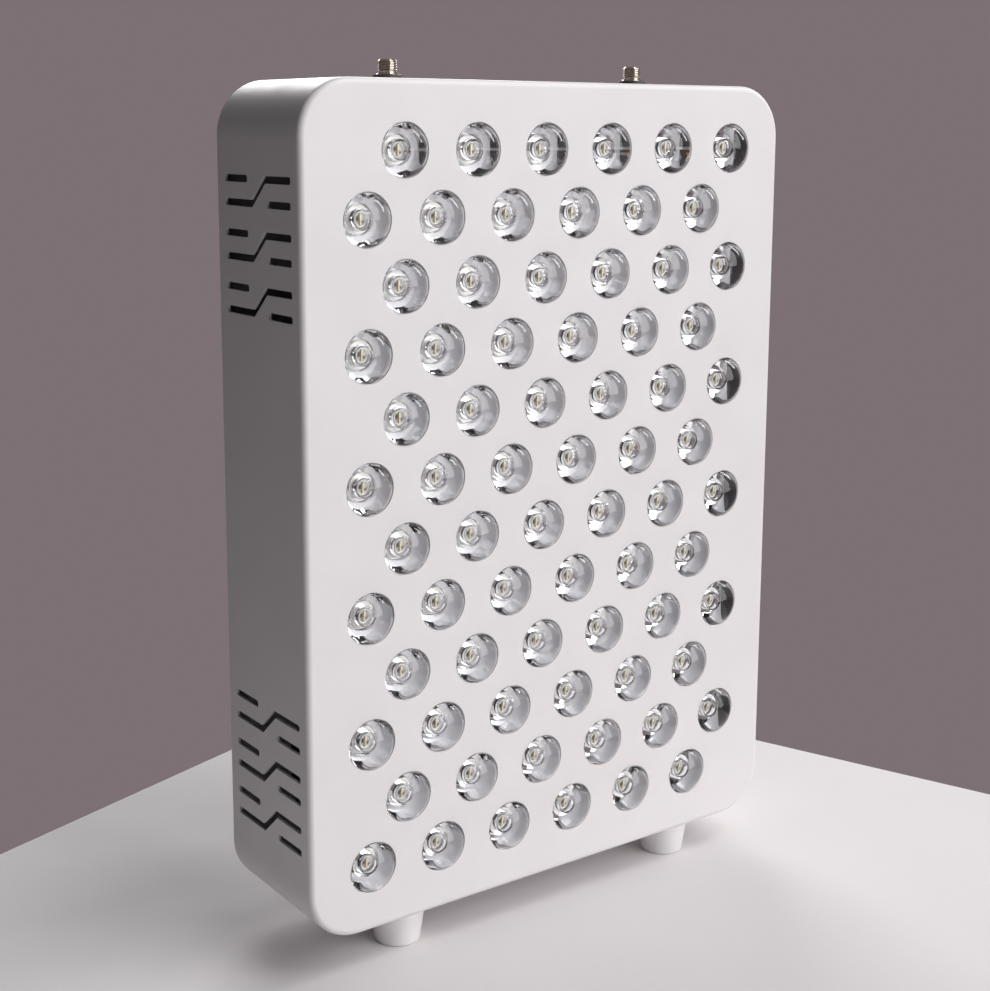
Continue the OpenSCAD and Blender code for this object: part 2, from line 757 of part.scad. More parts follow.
// LED drivers
module driver(channel) {
    z = driver_axis_z(channel);
    color("gainsboro") difference() {
        union() {
            inward(0, driver_face, z)
                translate([-driver_w / 2, -driver_h / 2, 0]) cube([driver_w, driver_h, driver_t]);
            inward(0, inner_rear - tab_t, z) linear_extrude(tab_t)
                square([driver_w + 2 * tab_l, tab_h], center = true);
        }
        for (p = driver_points)
            inward(p[0], inner_rear - tab_t - cut, z + p[1])
                cylinder(r = screw_r + thread_gap, h = tab_t + 2 * cut);
    }
}

module driver_screws() {
    color("silver") for (channel = [0, 1], p = driver_points)
        inward(p[0], body_d, driver_axis_z(channel) + p[1])
            screw(screw_r, cover_t + tab_t + screw_tip, screw_head_r);
}

// Mains inlet
module inlet_body() {
    color("black") inward(inlet_x, body_d, port_z) difference() {
        union() {
            linear_extrude(inlet_flange_t) rounded_rect(inlet_flange_w, inlet_flange_h, inlet_corner_r);
            translate([-inlet_body_w / 2, -inlet_body_h / 2, inlet_back])
                cube([inlet_body_w, inlet_body_h, -inlet_back]);
        }
        translate([0, 0, socket_floor]) linear_extrude(socket_d + cut) polygon([
            [-socket_w / 2, -socket_h / 2], [socket_w / 2, -socket_h / 2],
            [socket_w / 2, socket_h / 2 - socket_chamfer], [socket_w / 2 - socket_chamfer, socket_h / 2],
            [-socket_w / 2 + socket_chamfer, socket_h / 2], [-socket_w / 2, socket_h / 2 - socket_chamfer]
        ]);
        for (p = contact_points) translate([p[0], p[1], inlet_back - cut])
            linear_extrude(inlet_wall + 2 * cut)
                square([contact_t + 2 * thread_gap, contact_w + 2 * thread_gap], center = true);
        for (side = [-1, 1]) translate([side * inlet_screw_pitch / 2, 0, -cut])
            cylinder(r = screw_r + hole_gap, h = inlet_flange_t + 2 * cut);
    }
}

module inlet_pins() {
    color("silver") for (p = contact_points)
        inward(inlet_x + p[0], body_d + inlet_back - tail_l, port_z - p[1])
            linear_extrude(tail_l + inlet_wall + blade_l)
                square([contact_t, contact_w], center = true);
}

module inlet_screws() {
    color("silver") for (side = [-1, 1])
        inward(inlet_x + side * inlet_screw_pitch / 2, body_d + inlet_flange_t, port_z)
            screw(screw_r, inlet_flange_t + cover_t + grip / 2, screw_head_r);
}

// Rocker switches
module switch_body(channel) {
    color("black") inward(rocker_x(channel), body_d, port_z) difference() {
        union() {
            linear_extrude(bezel_t) rounded_rect(bezel_w, bezel_h, bezel_corner_r);
            translate([-switch_body_w / 2, -switch_body_h / 2, -switch_d])
                cube([switch_body_w, switch_body_h, switch_d]);
        }
        translate([-well_w / 2, -well_h / 2, -well_d]) cube([well_w, well_h, well_d + bezel_t + cut]);
        rotate([0, 90, 0]) cylinder(r = pivot_r + pivot_gap, h = well_w + 2 * pivot_hole, center = true);
    }
}

// Rocker at rest: its lower end is pressed in and its upper end stands out
module switch_rocker(channel) {
    rocker_w = well_w - 2 * rocker_gap;
    color("crimson") translate([rocker_x(channel), rear_y, port_z]) rotate([-rocker_tilt, 0, 0]) {
        across(rocker_w) polygon([
            [rocker_end_h, -rocker_half], [rocker_mid_h, 0], [rocker_end_h, rocker_half],
            [-pivot_r, rocker_half], [-rocker_root, rocker_half / 3],
            [-rocker_root, -rocker_half / 3], [-pivot_r, -rocker_half]
        ]);
        rotate([0, 90, 0]) cylinder(r = pivot_r, h = well_w + 2 * pivot_pin, center = true);
    }
}

module switch_terminals() {
    color("silver") for (channel = [0, 1], side = [-1, 1])
        inward(rocker_x(channel), body_d - switch_d - tail_l, port_z + side * terminal_spread)
            translate([-terminal_w / 2, -terminal_t / 2, 0]) cube([terminal_w, terminal_t, tail_l]);
}

// Hanging studs
module hanging_stud(side) {
    thread_top = stud_h - stud_chamfer;
    color("burlywood") translate([side * stud_x, front_y + stud_t, top_z]) {
        translate([0, 0, -stud_root]) cylinder(r = stud_r, h = stud_root + thread_top);
        translate([0, 0, thread_top]) cylinder(r1 = stud_r, r2 = stud_r - stud_chamfer, h = stud_chamfer);
        translate([0, 0, washer_t]) cylinder(r = stud_flange_r, h = stud_flange_t);
    }
}

module stud_washers() {
    color("black") for (side = [-1, 1]) translate([side * stud_x, front_y + stud_t, top_z]) difference() {
        cylinder(r = washer_r, h = washer_t);
        translate([0, 0, -cut]) cylinder(r = stud_r + thread_gap, h = washer_t + 2 * cut);
    }
}

module stud_nuts() {
    color("silver") for (side = [-1, 1])
        translate([side * stud_x, front_y + stud_t, top_z - wall - stud_nut_h])
            hex_nut(stud_nut_af, stud_nut_h, stud_r + thread_gap);
}

// Feet
module foot(i) {
    color("white") translate([foot_points[i][0], front_y + foot_points[i][1], 0]) difference() {
        rotate_extrude() polygon([
            [0, 0], [foot_bottom_r - foot_chamfer, 0], [foot_bottom_r, foot_chamfer],
            [foot_top_r, foot_h], [0, foot_h]
        ]);
        translate([0, 0, -cut]) cylinder(r = foot_screw_r + hole_gap, h = foot_h + 2 * cut);
        translate([0, 0, -cut]) cylinder(r = foot_head_r + hole_gap, h = foot_recess + cut);
    }
}

module foot_screws() {
    color("silver") for (p = foot_points)
        translate([p[0], front_y + p[1], foot_recess]) mirror([0, 0, 1])
            screw(foot_screw_r, foot_screw_l, foot_head_r);
}

module foot_nuts() {
    color("silver") for (p = foot_points)
        translate([p[0], front_y + p[1], foot_h + wall])
            hex_nut(foot_nut_af, foot_nut_h, foot_screw_r + thread_gap);
}

// Wires
function unit(v) = v / norm(v);

// Start or end of the curve that replaces a corner, on its way to a neighbour
function bend_end(corner, next) = corner + min(wire_bend, norm(next - corner) / 2) * unit(next - corner);

// Route with each inner corner replaced by a short curve
function smooth_route(p) = concat(
    [p[0]],
    [
        for (i = [1 : len(p) - 2])
            let (a = bend_end(p[i], p[i - 1]), b = bend_end(p[i], p[i + 1]))
            for (s = [0 : bend_steps])
                let (u = s / bend_steps) (1 - u) * (1 - u) * a + 2 * u * (1 - u) * p[i] + u * u * b
    ],
    [p[len(p) - 1]]
);

function heading(p, i) = unit(p[min(i + 1, len(p) - 1)] - p[max(i - 1, 0)]);

// Ring of points round a route's point, square to its heading
function wire_ring(centre, ahead) =
    let (side = unit(cross(ahead, aside)), up = cross(side, ahead))
    [
        for (k = [0 : wire_sides - 1])
            let (a = 360 * k / wire_sides) centre + wire_r * (cos(a) * side + sin(a) * up)
    ];

// Tube along a route given as [x, depth, height]
module wire(route) {
    path = smooth_route([for (p = route) [p[0], front_y + p[1], p[2]]]);
    last = len(path) - 1;
    points = [for (i = [0 : last]) each wire_ring(path[i], heading(path, i))];
    walls = [
        for (i = [0 : last - 1], k = [0 : wire_sides - 1])
            let (a = i * wire_sides + k, b = i * wire_sides + (k + 1) % wire_sides)
            each [[a, b, b + wire_sides], [a, b + wire_sides, a + wire_sides]]
    ];
    start_cap = [for (k = [1 : wire_sides - 2]) [0, k + 1, k]];
    end_start = last * wire_sides;
    end_cap = [for (k = [1 : wire_sides - 2]) [end_start, end_start + k, end_start + k + 1]];
    polyhedron(points, concat(walls, start_cap, end_cap));
}

// Feed, switched, return and earth wires between the inlet, the switches and the drivers
module mains_wiring() {
    inlet_tail = body_d + inlet_back - tail_l;
    switch_tail = body_d - switch_d - tail_l;
    live_x = inlet_x - contact_pitch / 2;
    return_x = inlet_x + contact_pitch / 2;
    earth_x = inlet_x + inlet_flange_w / 2 + wire_gap;
    earth_z = port_z - contact_offset;
    high = port_z + terminal_spread;
    low = port_z - terminal_spread;
    feed_x = rocker_x(0) + wire_gap / 4;
    link_x = rocker_x(0) - wire_gap / 4;
    input_x = driver_w / 2 - 2 * wire_gap;
    color("brown") {
        wire([
            [live_x, inlet_tail, port_z], [live_x, wire_lane, port_z], [live_x, wire_lane, wire_floor],
            [feed_x, wire_lane, wire_floor], [feed_x, wire_lane, low], [feed_x, switch_tail, low]
        ]);
        wire([
            [link_x, switch_tail, low], [link_x, wire_lane, low],
            [rocker_x(1), wire_lane, low], [rocker_x(1), switch_tail, low]
        ]);
        for (channel = [0, 1])
            let (end_x = -input_x + (1 - channel) * 2 * wire_gap, end_z = driver_axis_z(channel))
                wire([
                    [rocker_x(channel), switch_tail, high], [rocker_x(channel), wire_lane, high],
                    [end_x, wire_lane, end_z], [end_x, driver_face, end_z]
                ]);
        wire([
            [return_x, inlet_tail, port_z], [return_x, wire_lane, port_z],
            [input_x, wire_lane, driver_axis_z(1)], [input_x, driver_face, driver_axis_z(1)]
        ]);
        wire([for (end = [[1, driver_face], [1, wire_lane], [0, wire_lane], [0, driver_face]])
            [input_x - 2 * wire_gap, end[1], driver_axis_z(end[0])]]);
        wire([
            [inlet_x, inlet_tail, earth_z], [inlet_x, wire_lane, earth_z],
            [earth_x, wire_lane, earth_z], [earth_x, inner_rear, earth_z]
        ]);
    }
}

// Lead from each end of a driver to the free side strip of each board
module led_wiring() {
    strip_x = (board_w + sink_w) / 4;
    out_depth = inner_rear - driver_t / 2;
    color("red") for (channel = [0, 1], half = [0, 1])
        let (side = half_sign[channel], z = driver_axis_z(channel) + half_sign[half] * driver_h / 4)
            wire([
                [side * driver_w / 2, out_depth, z], [side * strip_x, out_depth, z],
                [side * strip_x, out_depth - lead_slant, grid_z + half_sign[half] * driver_h],
                [side * strip_x, sink_depth, grid_z + half_sign[half] * driver_h]
            ]);
}

// Lead from the side of each fan to the driver beside it
module fan_wiring() {
    out_depth = inner_rear - fan_flange_t / 2;
    lead_x = fan_size / 2 + wire_gap;
    color("black") for (half = [0, 1])
        wire([
            [fan_size / 2, out_depth, fan_z(half)], [lead_x, out_depth, fan_z(half)],
            [lead_x, out_depth, driver_axis_z(half) + half_sign[half] * driver_h / 2]
        ]);
}

front_shell();
back_cover();
cover_posts();
cover_screws();
board_standoffs();
heat_sink_screws();
for (row = [1 : lens_rows]) lens_row(row);
for (half = [0, 1]) {
    led_group(half, 0);
    led_group(half, 1);
    led_board(half);
    heat_sink(half);
    fan_frame(half);
    fan_stator(half);
    fan_rotor(half);
    fan_guard(half);
}
fan_screws();
for (channel = [0, 1]) {
    driver(channel);
    switch_body(channel);
    switch_rocker(channel);
}
driver_screws();
inlet_body();
inlet_pins();
inlet_screws();
switch_terminals();
hanging_stud(-1);  // hanging_stud_left
hanging_stud(1);  // hanging_stud_right
stud_washers();
stud_nuts();
for (i = [0 : len(foot_names) - 1]) foot(i);
foot_screws();
foot_nuts();
mains_wiring();
led_wiring();
fan_wiring();
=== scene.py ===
"""Looks of the red light panel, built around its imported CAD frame.

Lengths are in millimetres until a mesh is made. Only the lamps are placed in metres.
"""
import math

import bmesh
import bpy
from mathutils import Matrix, Vector


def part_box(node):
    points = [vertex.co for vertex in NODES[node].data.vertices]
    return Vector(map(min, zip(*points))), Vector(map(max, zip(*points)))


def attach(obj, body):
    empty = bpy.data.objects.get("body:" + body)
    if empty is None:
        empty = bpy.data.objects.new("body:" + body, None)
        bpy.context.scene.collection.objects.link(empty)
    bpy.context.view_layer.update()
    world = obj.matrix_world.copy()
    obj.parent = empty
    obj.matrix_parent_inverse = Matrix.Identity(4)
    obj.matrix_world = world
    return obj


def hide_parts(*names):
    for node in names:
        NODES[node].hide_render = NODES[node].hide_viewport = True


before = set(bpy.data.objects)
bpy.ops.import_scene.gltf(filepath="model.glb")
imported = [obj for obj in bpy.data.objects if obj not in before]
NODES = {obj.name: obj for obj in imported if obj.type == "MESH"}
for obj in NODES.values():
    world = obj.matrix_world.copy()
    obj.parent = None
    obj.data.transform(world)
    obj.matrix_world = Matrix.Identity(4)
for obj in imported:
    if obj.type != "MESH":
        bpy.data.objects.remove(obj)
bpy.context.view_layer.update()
MM = 0.001
HOUSING = "housing"


# Places taken from the frame
def box_mm(node):
    low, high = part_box(node)
    return low / MM, high / MM


shell_low, shell_high = box_mm("front_shell")
FRONT_Y = shell_low.y
REAR_Y = shell_high.y
LENS_ROWS = sorted(n for n in NODES if n.startswith("lens_row_"))
LENSES_IN_ROW = 6
row_low, row_high = box_mm(LENS_ROWS[0])
FLANGE_R = (row_high.z - row_low.z) / 2
DOME_H = FRONT_Y - row_low.y
BOARD_DEPTH = row_high.y - FRONT_Y


def lens_centres(node):
    """Axis points of a row's lenses on the front face, as (x, z)."""
    low, high = box_mm(node)
    step = (high.x - low.x - 2 * FLANGE_R) / (LENSES_IN_ROW - 1)
    return [(low.x + FLANGE_R + step * col, (low.z + high.z) / 2) for col in range(LENSES_IN_ROW)]


# Mesh helpers
ON_AXIS = 1e-6
WELD = 1e-4
CAP_ANGLES = (0.5, 1.0, 1.4)
LEAST_MITRE = 0.5


def facing_front(x, depth, z):
    """Places a form that stands on +Z so that +Z runs from the front of the panel to the back."""
    return Matrix.Translation((x, FRONT_Y + depth, z)) @ Matrix.Rotation(math.radians(-90), 4, "X")


def facing_back(x, depth, z):
    """Places a form that stands on +Z so that +Z points out of the front of the panel."""
    return Matrix.Translation((x, FRONT_Y + depth, z)) @ Matrix.Rotation(math.radians(90), 4, "X")


def upright(x, y, z):
    return Matrix.Translation((x, y, z))


def arc(centre, radius, start, end, steps):
    """Points of an arc in the plane of radius and height, angles in degrees."""
    angles = [math.radians(start + (end - start) * i / steps) for i in range(steps + 1)]
    return [(centre[0] + radius * math.cos(a), centre[1] + radius * math.sin(a)) for a in angles]


def join_rings(bm, low, high, material):
    """Faces between two rings of points. A ring of one point is a pole."""
    count = max(len(low), len(high))
    for k in range(count):
        n = (k + 1) % count
        corners = [low[k % len(low)], low[n % len(low)], high[n % len(high)], high[k % len(high)]]
        face = bm.faces.new(dict.fromkeys(corners))
        face.material_index = material
        face.smooth = True


def lathe(bm, profile, place, segments=64, material=0, closed=False):
    """Turns a profile of (radius, height) points about +Z. Points on the axis become poles."""
    rings = []
    for radius, height in profile:
        if radius < ON_AXIS:
            rings.append([bm.verts.new(place @ Vector((0, 0, height)))])
            continue
        turn = [2 * math.pi * k / segments for k in range(segments)]
        ring = [(radius * math.cos(a), radius * math.sin(a), height) for a in turn]
        rings.append([bm.verts.new(place @ Vector(p)) for p in ring])
    for low, high in zip(rings, rings[1:] + rings[:1] if closed else rings[1:]):
        join_rings(bm, low, high, material)


def tube(bm, path, radius, place, closed=False, segments=10, material=0):
    """Round bar along a flat path in the local plane Z = 0. An open bar has rounded ends."""
    points = [Vector((*p, 0)) for p in path]
    count = len(points)
    stations = []
    for i, point in enumerate(points):
        before = points[i - 1] if closed or i else point
        after = points[(i + 1) % count] if closed or i + 1 < count else point
        stations.append((point, (after - before).normalized(), radius))
    if not closed:
        for end, sign in ((0, -1), (-1, 1)):
            point, ahead, _ = stations[end]
            caps = []
            for a in CAP_ANGLES:
                caps.append((point + ahead * sign * radius * math.sin(a), ahead, radius * math.cos(a)))
            stations = caps[::-1] + stations if end == 0 else stations + caps
    rings = []
    for point, ahead, size in stations:
        side = Vector((-ahead.y, ahead.x, 0))
        angles = [2 * math.pi * k / segments for k in range(segments)]
        ring = [point + size * (math.cos(a) * side + math.sin(a) * Vector((0, 0, 1))) for a in angles]
        rings.append([bm.verts.new(place @ p) for p in ring])
    for low, high in zip(rings, rings[1:] + rings[:1] if closed else rings[1:]):
        join_rings(bm, low, high, material)
    if not closed:
        for ring in (rings[0], rings[-1]):
            bm.faces.new(ring).material_index = material


def circle_path(radius, steps, centre=(0, 0)):
    turn = [2 * math.pi * k / steps for k in range(steps)]
    return [(centre[0] + radius * math.cos(a), centre[1] + radius * math.sin(a)) for a in turn]


def inset(loop, offset):
    """Moves the corners of a closed anticlockwise outline inwards, along the mean of their sides' normals."""
    moved = []
    for i, corner in enumerate(loop):
        before, after = Vector(loop[i - 1]), Vector(loop[(i + 1) % len(loop)])
        ways = [(Vector(corner) - before).normalized(), (after - Vector(corner)).normalized()]
        normal = Vector((-(ways[0] + ways[1]).y, (ways[0] + ways[1]).x)).normalized()
        mitre = normal.dot(Vector((-ways[0].y, ways[0].x)))
        moved.append(Vector(corner) + normal * offset / max(LEAST_MITRE, mitre))
    return moved


def prism(bm, loop, low, high, bevel, place, material=0):
    """Outline drawn out along +Z from low to high, with its end edges bevelled."""
    rings = []
    for height, offset in ((low, bevel), (low + bevel, 0), (high - bevel, 0), (high, bevel)):
        outline = inset(loop, offset) if offset else [Vector(p) for p in loop]
        rings.append([bm.verts.new(place @ Vector((p.x, p.y, height))) for p in outline])
    for lower, upper in zip(rings, rings[1:]):
        join_rings(bm, lower, upper, material)
    for ring in (rings[0], rings[-1]):
        bm.faces.new(ring).material_index = material


def block(bm, size, place, material=0):
    """Box that stands on the local plane Z = 0."""
    made = bmesh.ops.create_cube(bm, size=1)
    shape = Matrix.Translation((0, 0, size[2] / 2)) @ Matrix.Diagonal((*size, 1))
    bmesh.ops.transform(bm, matrix=place @ shape, verts=made["verts"])
    for face in {f for v in made["verts"] for f in v.link_faces}:
        face.material_index = material


def piece(name, bm, materials, body=HOUSING, replaces=(), sharp=35):
    """Makes a mesh from millimetres, rides it on its body and hides the frame's parts that it replaces."""
    bmesh.ops.recalc_face_normals(bm, faces=bm.faces)
    bm.transform(Matrix.Scale(MM, 4))
    mesh = bpy.data.meshes.new(name)
    bm.to_mesh(mesh)
    bm.free()
    mesh.set_sharp_from_angle(angle=math.radians(sharp))
    for material in materials:
        mesh.materials.append(material)
    made = bpy.data.objects.new(name, mesh)
    bpy.context.scene.collection.objects.link(made)
    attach(made, body)
    if replaces:
        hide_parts(*replaces)
    return made


# Materials
NOISE_RANGE = (0.3, 0.7)
TONE_STOPS = (0.35, 0.65)


def texture(tree, scale, detail=3.0, stretch=(1, 1, 1)):
    """Noise in the part's own frame, scale in repeats per metre."""
    coordinates = tree.nodes.new("ShaderNodeTexCoord")
    mapping = tree.nodes.new("ShaderNodeMapping")
    mapping.inputs["Scale"].default_value = stretch
    noise = tree.nodes.new("ShaderNodeTexNoise")
    noise.inputs["Scale"].default_value = scale
    noise.inputs["Detail"].default_value = detail
    tree.links.new(coordinates.outputs["Object"], mapping.inputs["Vector"])
    tree.links.new(mapping.outputs["Vector"], noise.inputs["Vector"])
    return noise.outputs["Fac"]


def spread(tree, value, low, high):
    """Maps a noise to the range from low to high."""
    node = tree.nodes.new("ShaderNodeMapRange")
    node.inputs["From Min"].default_value = NOISE_RANGE[0]
    node.inputs["From Max"].default_value = NOISE_RANGE[1]
    node.inputs["To Min"].default_value = low
    node.inputs["To Max"].default_value = high
    tree.links.new(value, node.inputs["Value"])
    return node.outputs["Result"]


def surface(name, tones, rough, mottle=60, grain=900, bump=0.05, relief=0.1, stretch=(1, 1, 1), **sockets):
    """Principled surface: tones and roughness in patches, and grain as bump of that relief in millimetres."""
    material = bpy.data.materials.new(name)
    material.use_nodes = True
    tree = material.node_tree
    shader = tree.nodes["Principled BSDF"]
    for socket, value in sockets.items():
        shader.inputs[socket.replace("_", " ")].default_value = value
    ramp = tree.nodes.new("ShaderNodeValToRGB")
    for stop, place, tone in zip(ramp.color_ramp.elements, TONE_STOPS, tones):
        stop.position = place
        stop.color = (*tone, 1)
    tree.links.new(texture(tree, mottle, 4, stretch), ramp.inputs["Fac"])
    tree.links.new(ramp.outputs["Color"], shader.inputs["Base Color"])
    tree.links.new(spread(tree, texture(tree, mottle * 3, 4, stretch), *rough), shader.inputs["Roughness"])
    height = tree.nodes.new("ShaderNodeBump")
    height.inputs["Strength"].default_value = bump
    height.inputs["Distance"].default_value = relief * MM
    tree.links.new(texture(tree, grain, 2, stretch), height.inputs["Height"])
    tree.links.new(height.outputs["Normal"], shader.inputs["Normal"])
    return material


def math_node(tree, operation, first, *values):
    """Math node on a socket and on sockets or numbers."""
    node = tree.nodes.new("ShaderNodeMath")
    node.operation = operation
    tree.links.new(first, node.inputs[0])
    for slot_in, value in zip(node.inputs[1:], values):
        if isinstance(value, float):
            slot_in.default_value = value
        else:
            tree.links.new(value, slot_in)
    return node.outputs["Value"]


def part_axes(tree):
    """The part's own X, Y and Z."""
    coordinates = tree.nodes.new("ShaderNodeTexCoord")
    split = tree.nodes.new("ShaderNodeSeparateXYZ")
    tree.links.new(coordinates.outputs["Object"], split.inputs["Vector"])
    return split.outputs


def between(tree, value, low, high):
    """1 where a socket lies between two heights in millimetres, and 0 elsewhere."""
    return math_node(tree, "COMPARE", value, (low + high) / 2 * MM, (high - low) / 2 * MM)


def painted_shade_in_case(tree):
    """1 where the case gets painted shade: inside it beside the boards, deeper than its outer skin, and 0 on
    its outer faces and round the lenses.
    """
    x, y, z = part_axes(tree)
    overhang = []
    for value, low, high in ((x, shell_low.x, shell_high.x), (z, shell_low.z, shell_high.z)):
        off = math_node(tree, "ABSOLUTE", math_node(tree, "SUBTRACT", value, (low + high) / 2 * MM))
        out = math_node(tree, "SUBTRACT", off, ((high - low) / 2 - CASE_CORNER_R) * MM)
        overhang.append(math_node(tree, "POWER", math_node(tree, "MAXIMUM", out, 0.0), 2.0))
    reach = math_node(tree, "SQRT", math_node(tree, "ADD", *overhang))
    inside = math_node(tree, "LESS_THAN", reach, (CASE_CORNER_R - UNSHADED_SKIN) * MM)
    deep = between(tree, y, shell_low.y + UNSHADED_SKIN, shell_high.y - UNSHADED_SKIN)
    inside = math_node(tree, "MULTIPLY", inside, deep)
    beside = math_node(tree, "GREATER_THAN", math_node(tree, "ABSOLUTE", x), CASE_SHADE_X * MM)
    return math_node(tree, "MULTIPLY", inside, beside)


def two_zones(material, share, inside=None, outside=None):
    """Gives a surface another tone where share is 1, or where it is 0."""
    tree = material.node_tree
    base = tree.nodes["Principled BSDF"].inputs["Base Color"]
    mix = tree.nodes.new("ShaderNodeMix")
    mix.data_type = "RGBA"
    usual, other, tone = ("A", "B", inside) if inside else ("B", "A", outside)
    sockets = {s.identifier: s for s in mix.inputs}
    tree.links.new(share, sockets["Factor_Float"])
    tree.links.new(base.links[0].from_socket, sockets[usual + "_Color"])
    sockets[other + "_Color"].default_value = (*tone, 1)
    tree.links.new({s.identifier: s for s in mix.outputs}["Result_Color"], base)


def let_lamps_through(material):
    """Lets lamps shine through a clear surface on what lies behind it."""
    tree = material.node_tree
    clear = tree.nodes.new("ShaderNodeBsdfTransparent")
    clear.inputs["Color"].default_value = LENS_SHADOW
    rays = tree.nodes.new("ShaderNodeLightPath")
    choice = tree.nodes.new("ShaderNodeMixShader")
    tree.links.new(rays.outputs["Is Shadow Ray"], choice.inputs["Fac"])
    tree.links.new(tree.nodes["Principled BSDF"].outputs["BSDF"], choice.inputs[1])
    tree.links.new(clear.outputs["BSDF"], choice.inputs[2])
    tree.links.new(choice.outputs["Shader"], tree.nodes["Material Output"].inputs["Surface"])


CASE_CORNER_R = 23.0
# Painted shade inside the case: deeper than this from its outer faces, and out beside the boards, the case is
# painted near black
UNSHADED_SKIN = 1.2
CASE_SHADE_X = 108.0
# Painted shade on the boards: beyond this from their middle, their margins are painted near black for the
# dark case behind their edges
BOARD_SHADE_X = 103.5
CASE_PAINTED_SHADE = (0.03, 0.03, 0.032)
BOARD_PAINTED_SHADE = (0.02, 0.02, 0.022)
LENS_SHADOW = (0.84, 0.85, 0.86, 1)
MATERIALS = {}


def add_material(name, *values, **sockets):
    MATERIALS[name] = surface(name, *values, **sockets)


add_material("powder_coat", [(0.80, 0.765, 0.775), (0.825, 0.79, 0.80)], (0.36, 0.46), 25, 1100, 0.12, 0.12)
add_material(
    "lens", [(0.96, 0.97, 0.98), (0.99, 0.99, 1.0)], (0.0, 0.015), 40, 150, 0.02, 0.05,
    Transmission_Weight=1.0, IOR=1.49,
)
add_material("led", [(0.78, 0.76, 0.70), (0.86, 0.84, 0.78)], (0.35, 0.5), 300, 3000, 0.1, 0.05)
# Painted shade: the white board is given mid-grey tones for the dim light that reaches it behind the lenses
add_material("board", [(0.58, 0.57, 0.59), (0.64, 0.63, 0.65)], (0.3, 0.42), 90, 1500, 0.1, 0.05)
add_material(
    "aluminium", [(0.62, 0.63, 0.64), (0.74, 0.75, 0.76)], (0.28, 0.42), 120, 900, 0.15, 0.1, (0.05, 1, 1),
    Metallic=1.0,
)
add_material(
    "steel", [(0.55, 0.55, 0.54), (0.66, 0.66, 0.65)], (0.2, 0.34), 400, 4000, 0.1, 0.05, Metallic=1.0,
)
add_material(
    "brass", [(0.62, 0.45, 0.18), (0.72, 0.54, 0.24)], (0.22, 0.36), 300, 3000, 0.1, 0.05, Metallic=1.0,
)
add_material(
    "bright_wire", [(0.68, 0.68, 0.68), (0.78, 0.78, 0.78)], (0.12, 0.24), 200, 3000, 0.08, 0.04,
    Metallic=1.0,
)
add_material(
    "nickel", [(0.46, 0.42, 0.36), (0.58, 0.53, 0.46)], (0.16, 0.24), 500, 3000, 0.04, 0.03, Metallic=1.0,
)
add_material(
    "copper", [(0.55, 0.26, 0.13), (0.70, 0.36, 0.19)], (0.3, 0.45), 600, 3000, 0.3, 0.2, (1, 0.1, 1),
    Metallic=1.0,
)
add_material(
    "black_plastic", [(0.018, 0.018, 0.019), (0.028, 0.028, 0.03)], (0.38, 0.55), 150, 2500, 0.2, 0.08,
)
add_material("rocker", [(0.012, 0.012, 0.013), (0.02, 0.02, 0.021)], (0.2, 0.32), 150, 2500, 0.1, 0.05)
add_material("washer", [(0.02, 0.018, 0.016), (0.05, 0.045, 0.04)], (0.4, 0.6), 500, 3000, 0.2, 0.08)
add_material("foot", [(0.82, 0.795, 0.80), (0.86, 0.835, 0.84)], (0.3, 0.42), 80, 1800, 0.08, 0.06)
add_material("wire", [(0.25, 0.03, 0.02), (0.35, 0.04, 0.03)], (0.35, 0.5), 300, 2000, 0.1, 0.05)
add_material("led_cup", [(0.76, 0.74, 0.70), (0.86, 0.84, 0.80)], (0.25, 0.4), 500, 3000, 0.1, 0.05)
add_material("led_dish", [(0.30, 0.28, 0.26), (0.46, 0.44, 0.42)], (0.2, 0.4), 600, 3000, 0.2, 0.05)
add_material("mark", [(0.72, 0.72, 0.70), (0.80, 0.80, 0.78)], (0.4, 0.55), 900, 4000, 0.1, 0.03)
add_material("chip", [(0.56, 0.48, 0.28), (0.68, 0.60, 0.38)], (0.3, 0.5), 900, 4000, 0.2, 0.05)

# Painted shade: the case is painted near black inside beside the boards, for the dark interior seen through
# its slots and lenses, and the boards' side margins are painted near black too
coat_tree, board_tree = (MATERIALS[m].node_tree for m in ("powder_coat", "board"))
two_zones(MATERIALS["powder_coat"], painted_shade_in_case(coat_tree), inside=CASE_PAINTED_SHADE)
unshaded_board = between(board_tree, part_axes(board_tree)["X"], -BOARD_SHADE_X, BOARD_SHADE_X)
two_zones(MATERIALS["board"], unshaded_board, outside=BOARD_PAINTED_SHADE)
let_lamps_through(MATERIALS["lens"])

for node in NODES.values():
    slot_name = node.data.materials[0].name.split(".")[0]
    node.data.materials[0] = MATERIALS[slot_name]


# Lenses: a clear dome and its flange, and a collimator with a stepped pocket for the LED
LENS_R = 10.7
WALL = 1.5
LENS_FLANGE_T = 1.2
BAND_R = 10.4
BAND_STEP = 0.8
BAND_BACK = 5.2
WAIST_R, WAIST_DEPTH = 8.2, 7.1
LENS_FOOT_R = 6.0
LENS_FOOT_LIFT = 0.25
POCKET_R = 4.4
POCKET_STEP = 1.9
POCKET_UPPER_R = 3.2
POCKET_ROOF = 4.0
POCKET_CROWN = 1.6
RIPPLES = 8
RIPPLE_H = 0.08
FINE_RIPPLES = 13
FINE_SHARE = 0.6
ROW_PHASE, COL_PHASE = 2.4, 1.7
LENS_AROUND = 96
DOME_STEPS = 24
CROWN_STEPS = 8
dome_sphere_r = (LENS_R ** 2 + DOME_H ** 2) / (2 * DOME_H)
dome_edge = math.degrees(math.asin(LENS_R / dome_sphere_r))
dome_centre = (0, dome_sphere_r - DOME_H)
flange_back = WALL + LENS_FLANGE_T
lens_foot = BOARD_DEPTH - LENS_FOOT_LIFT
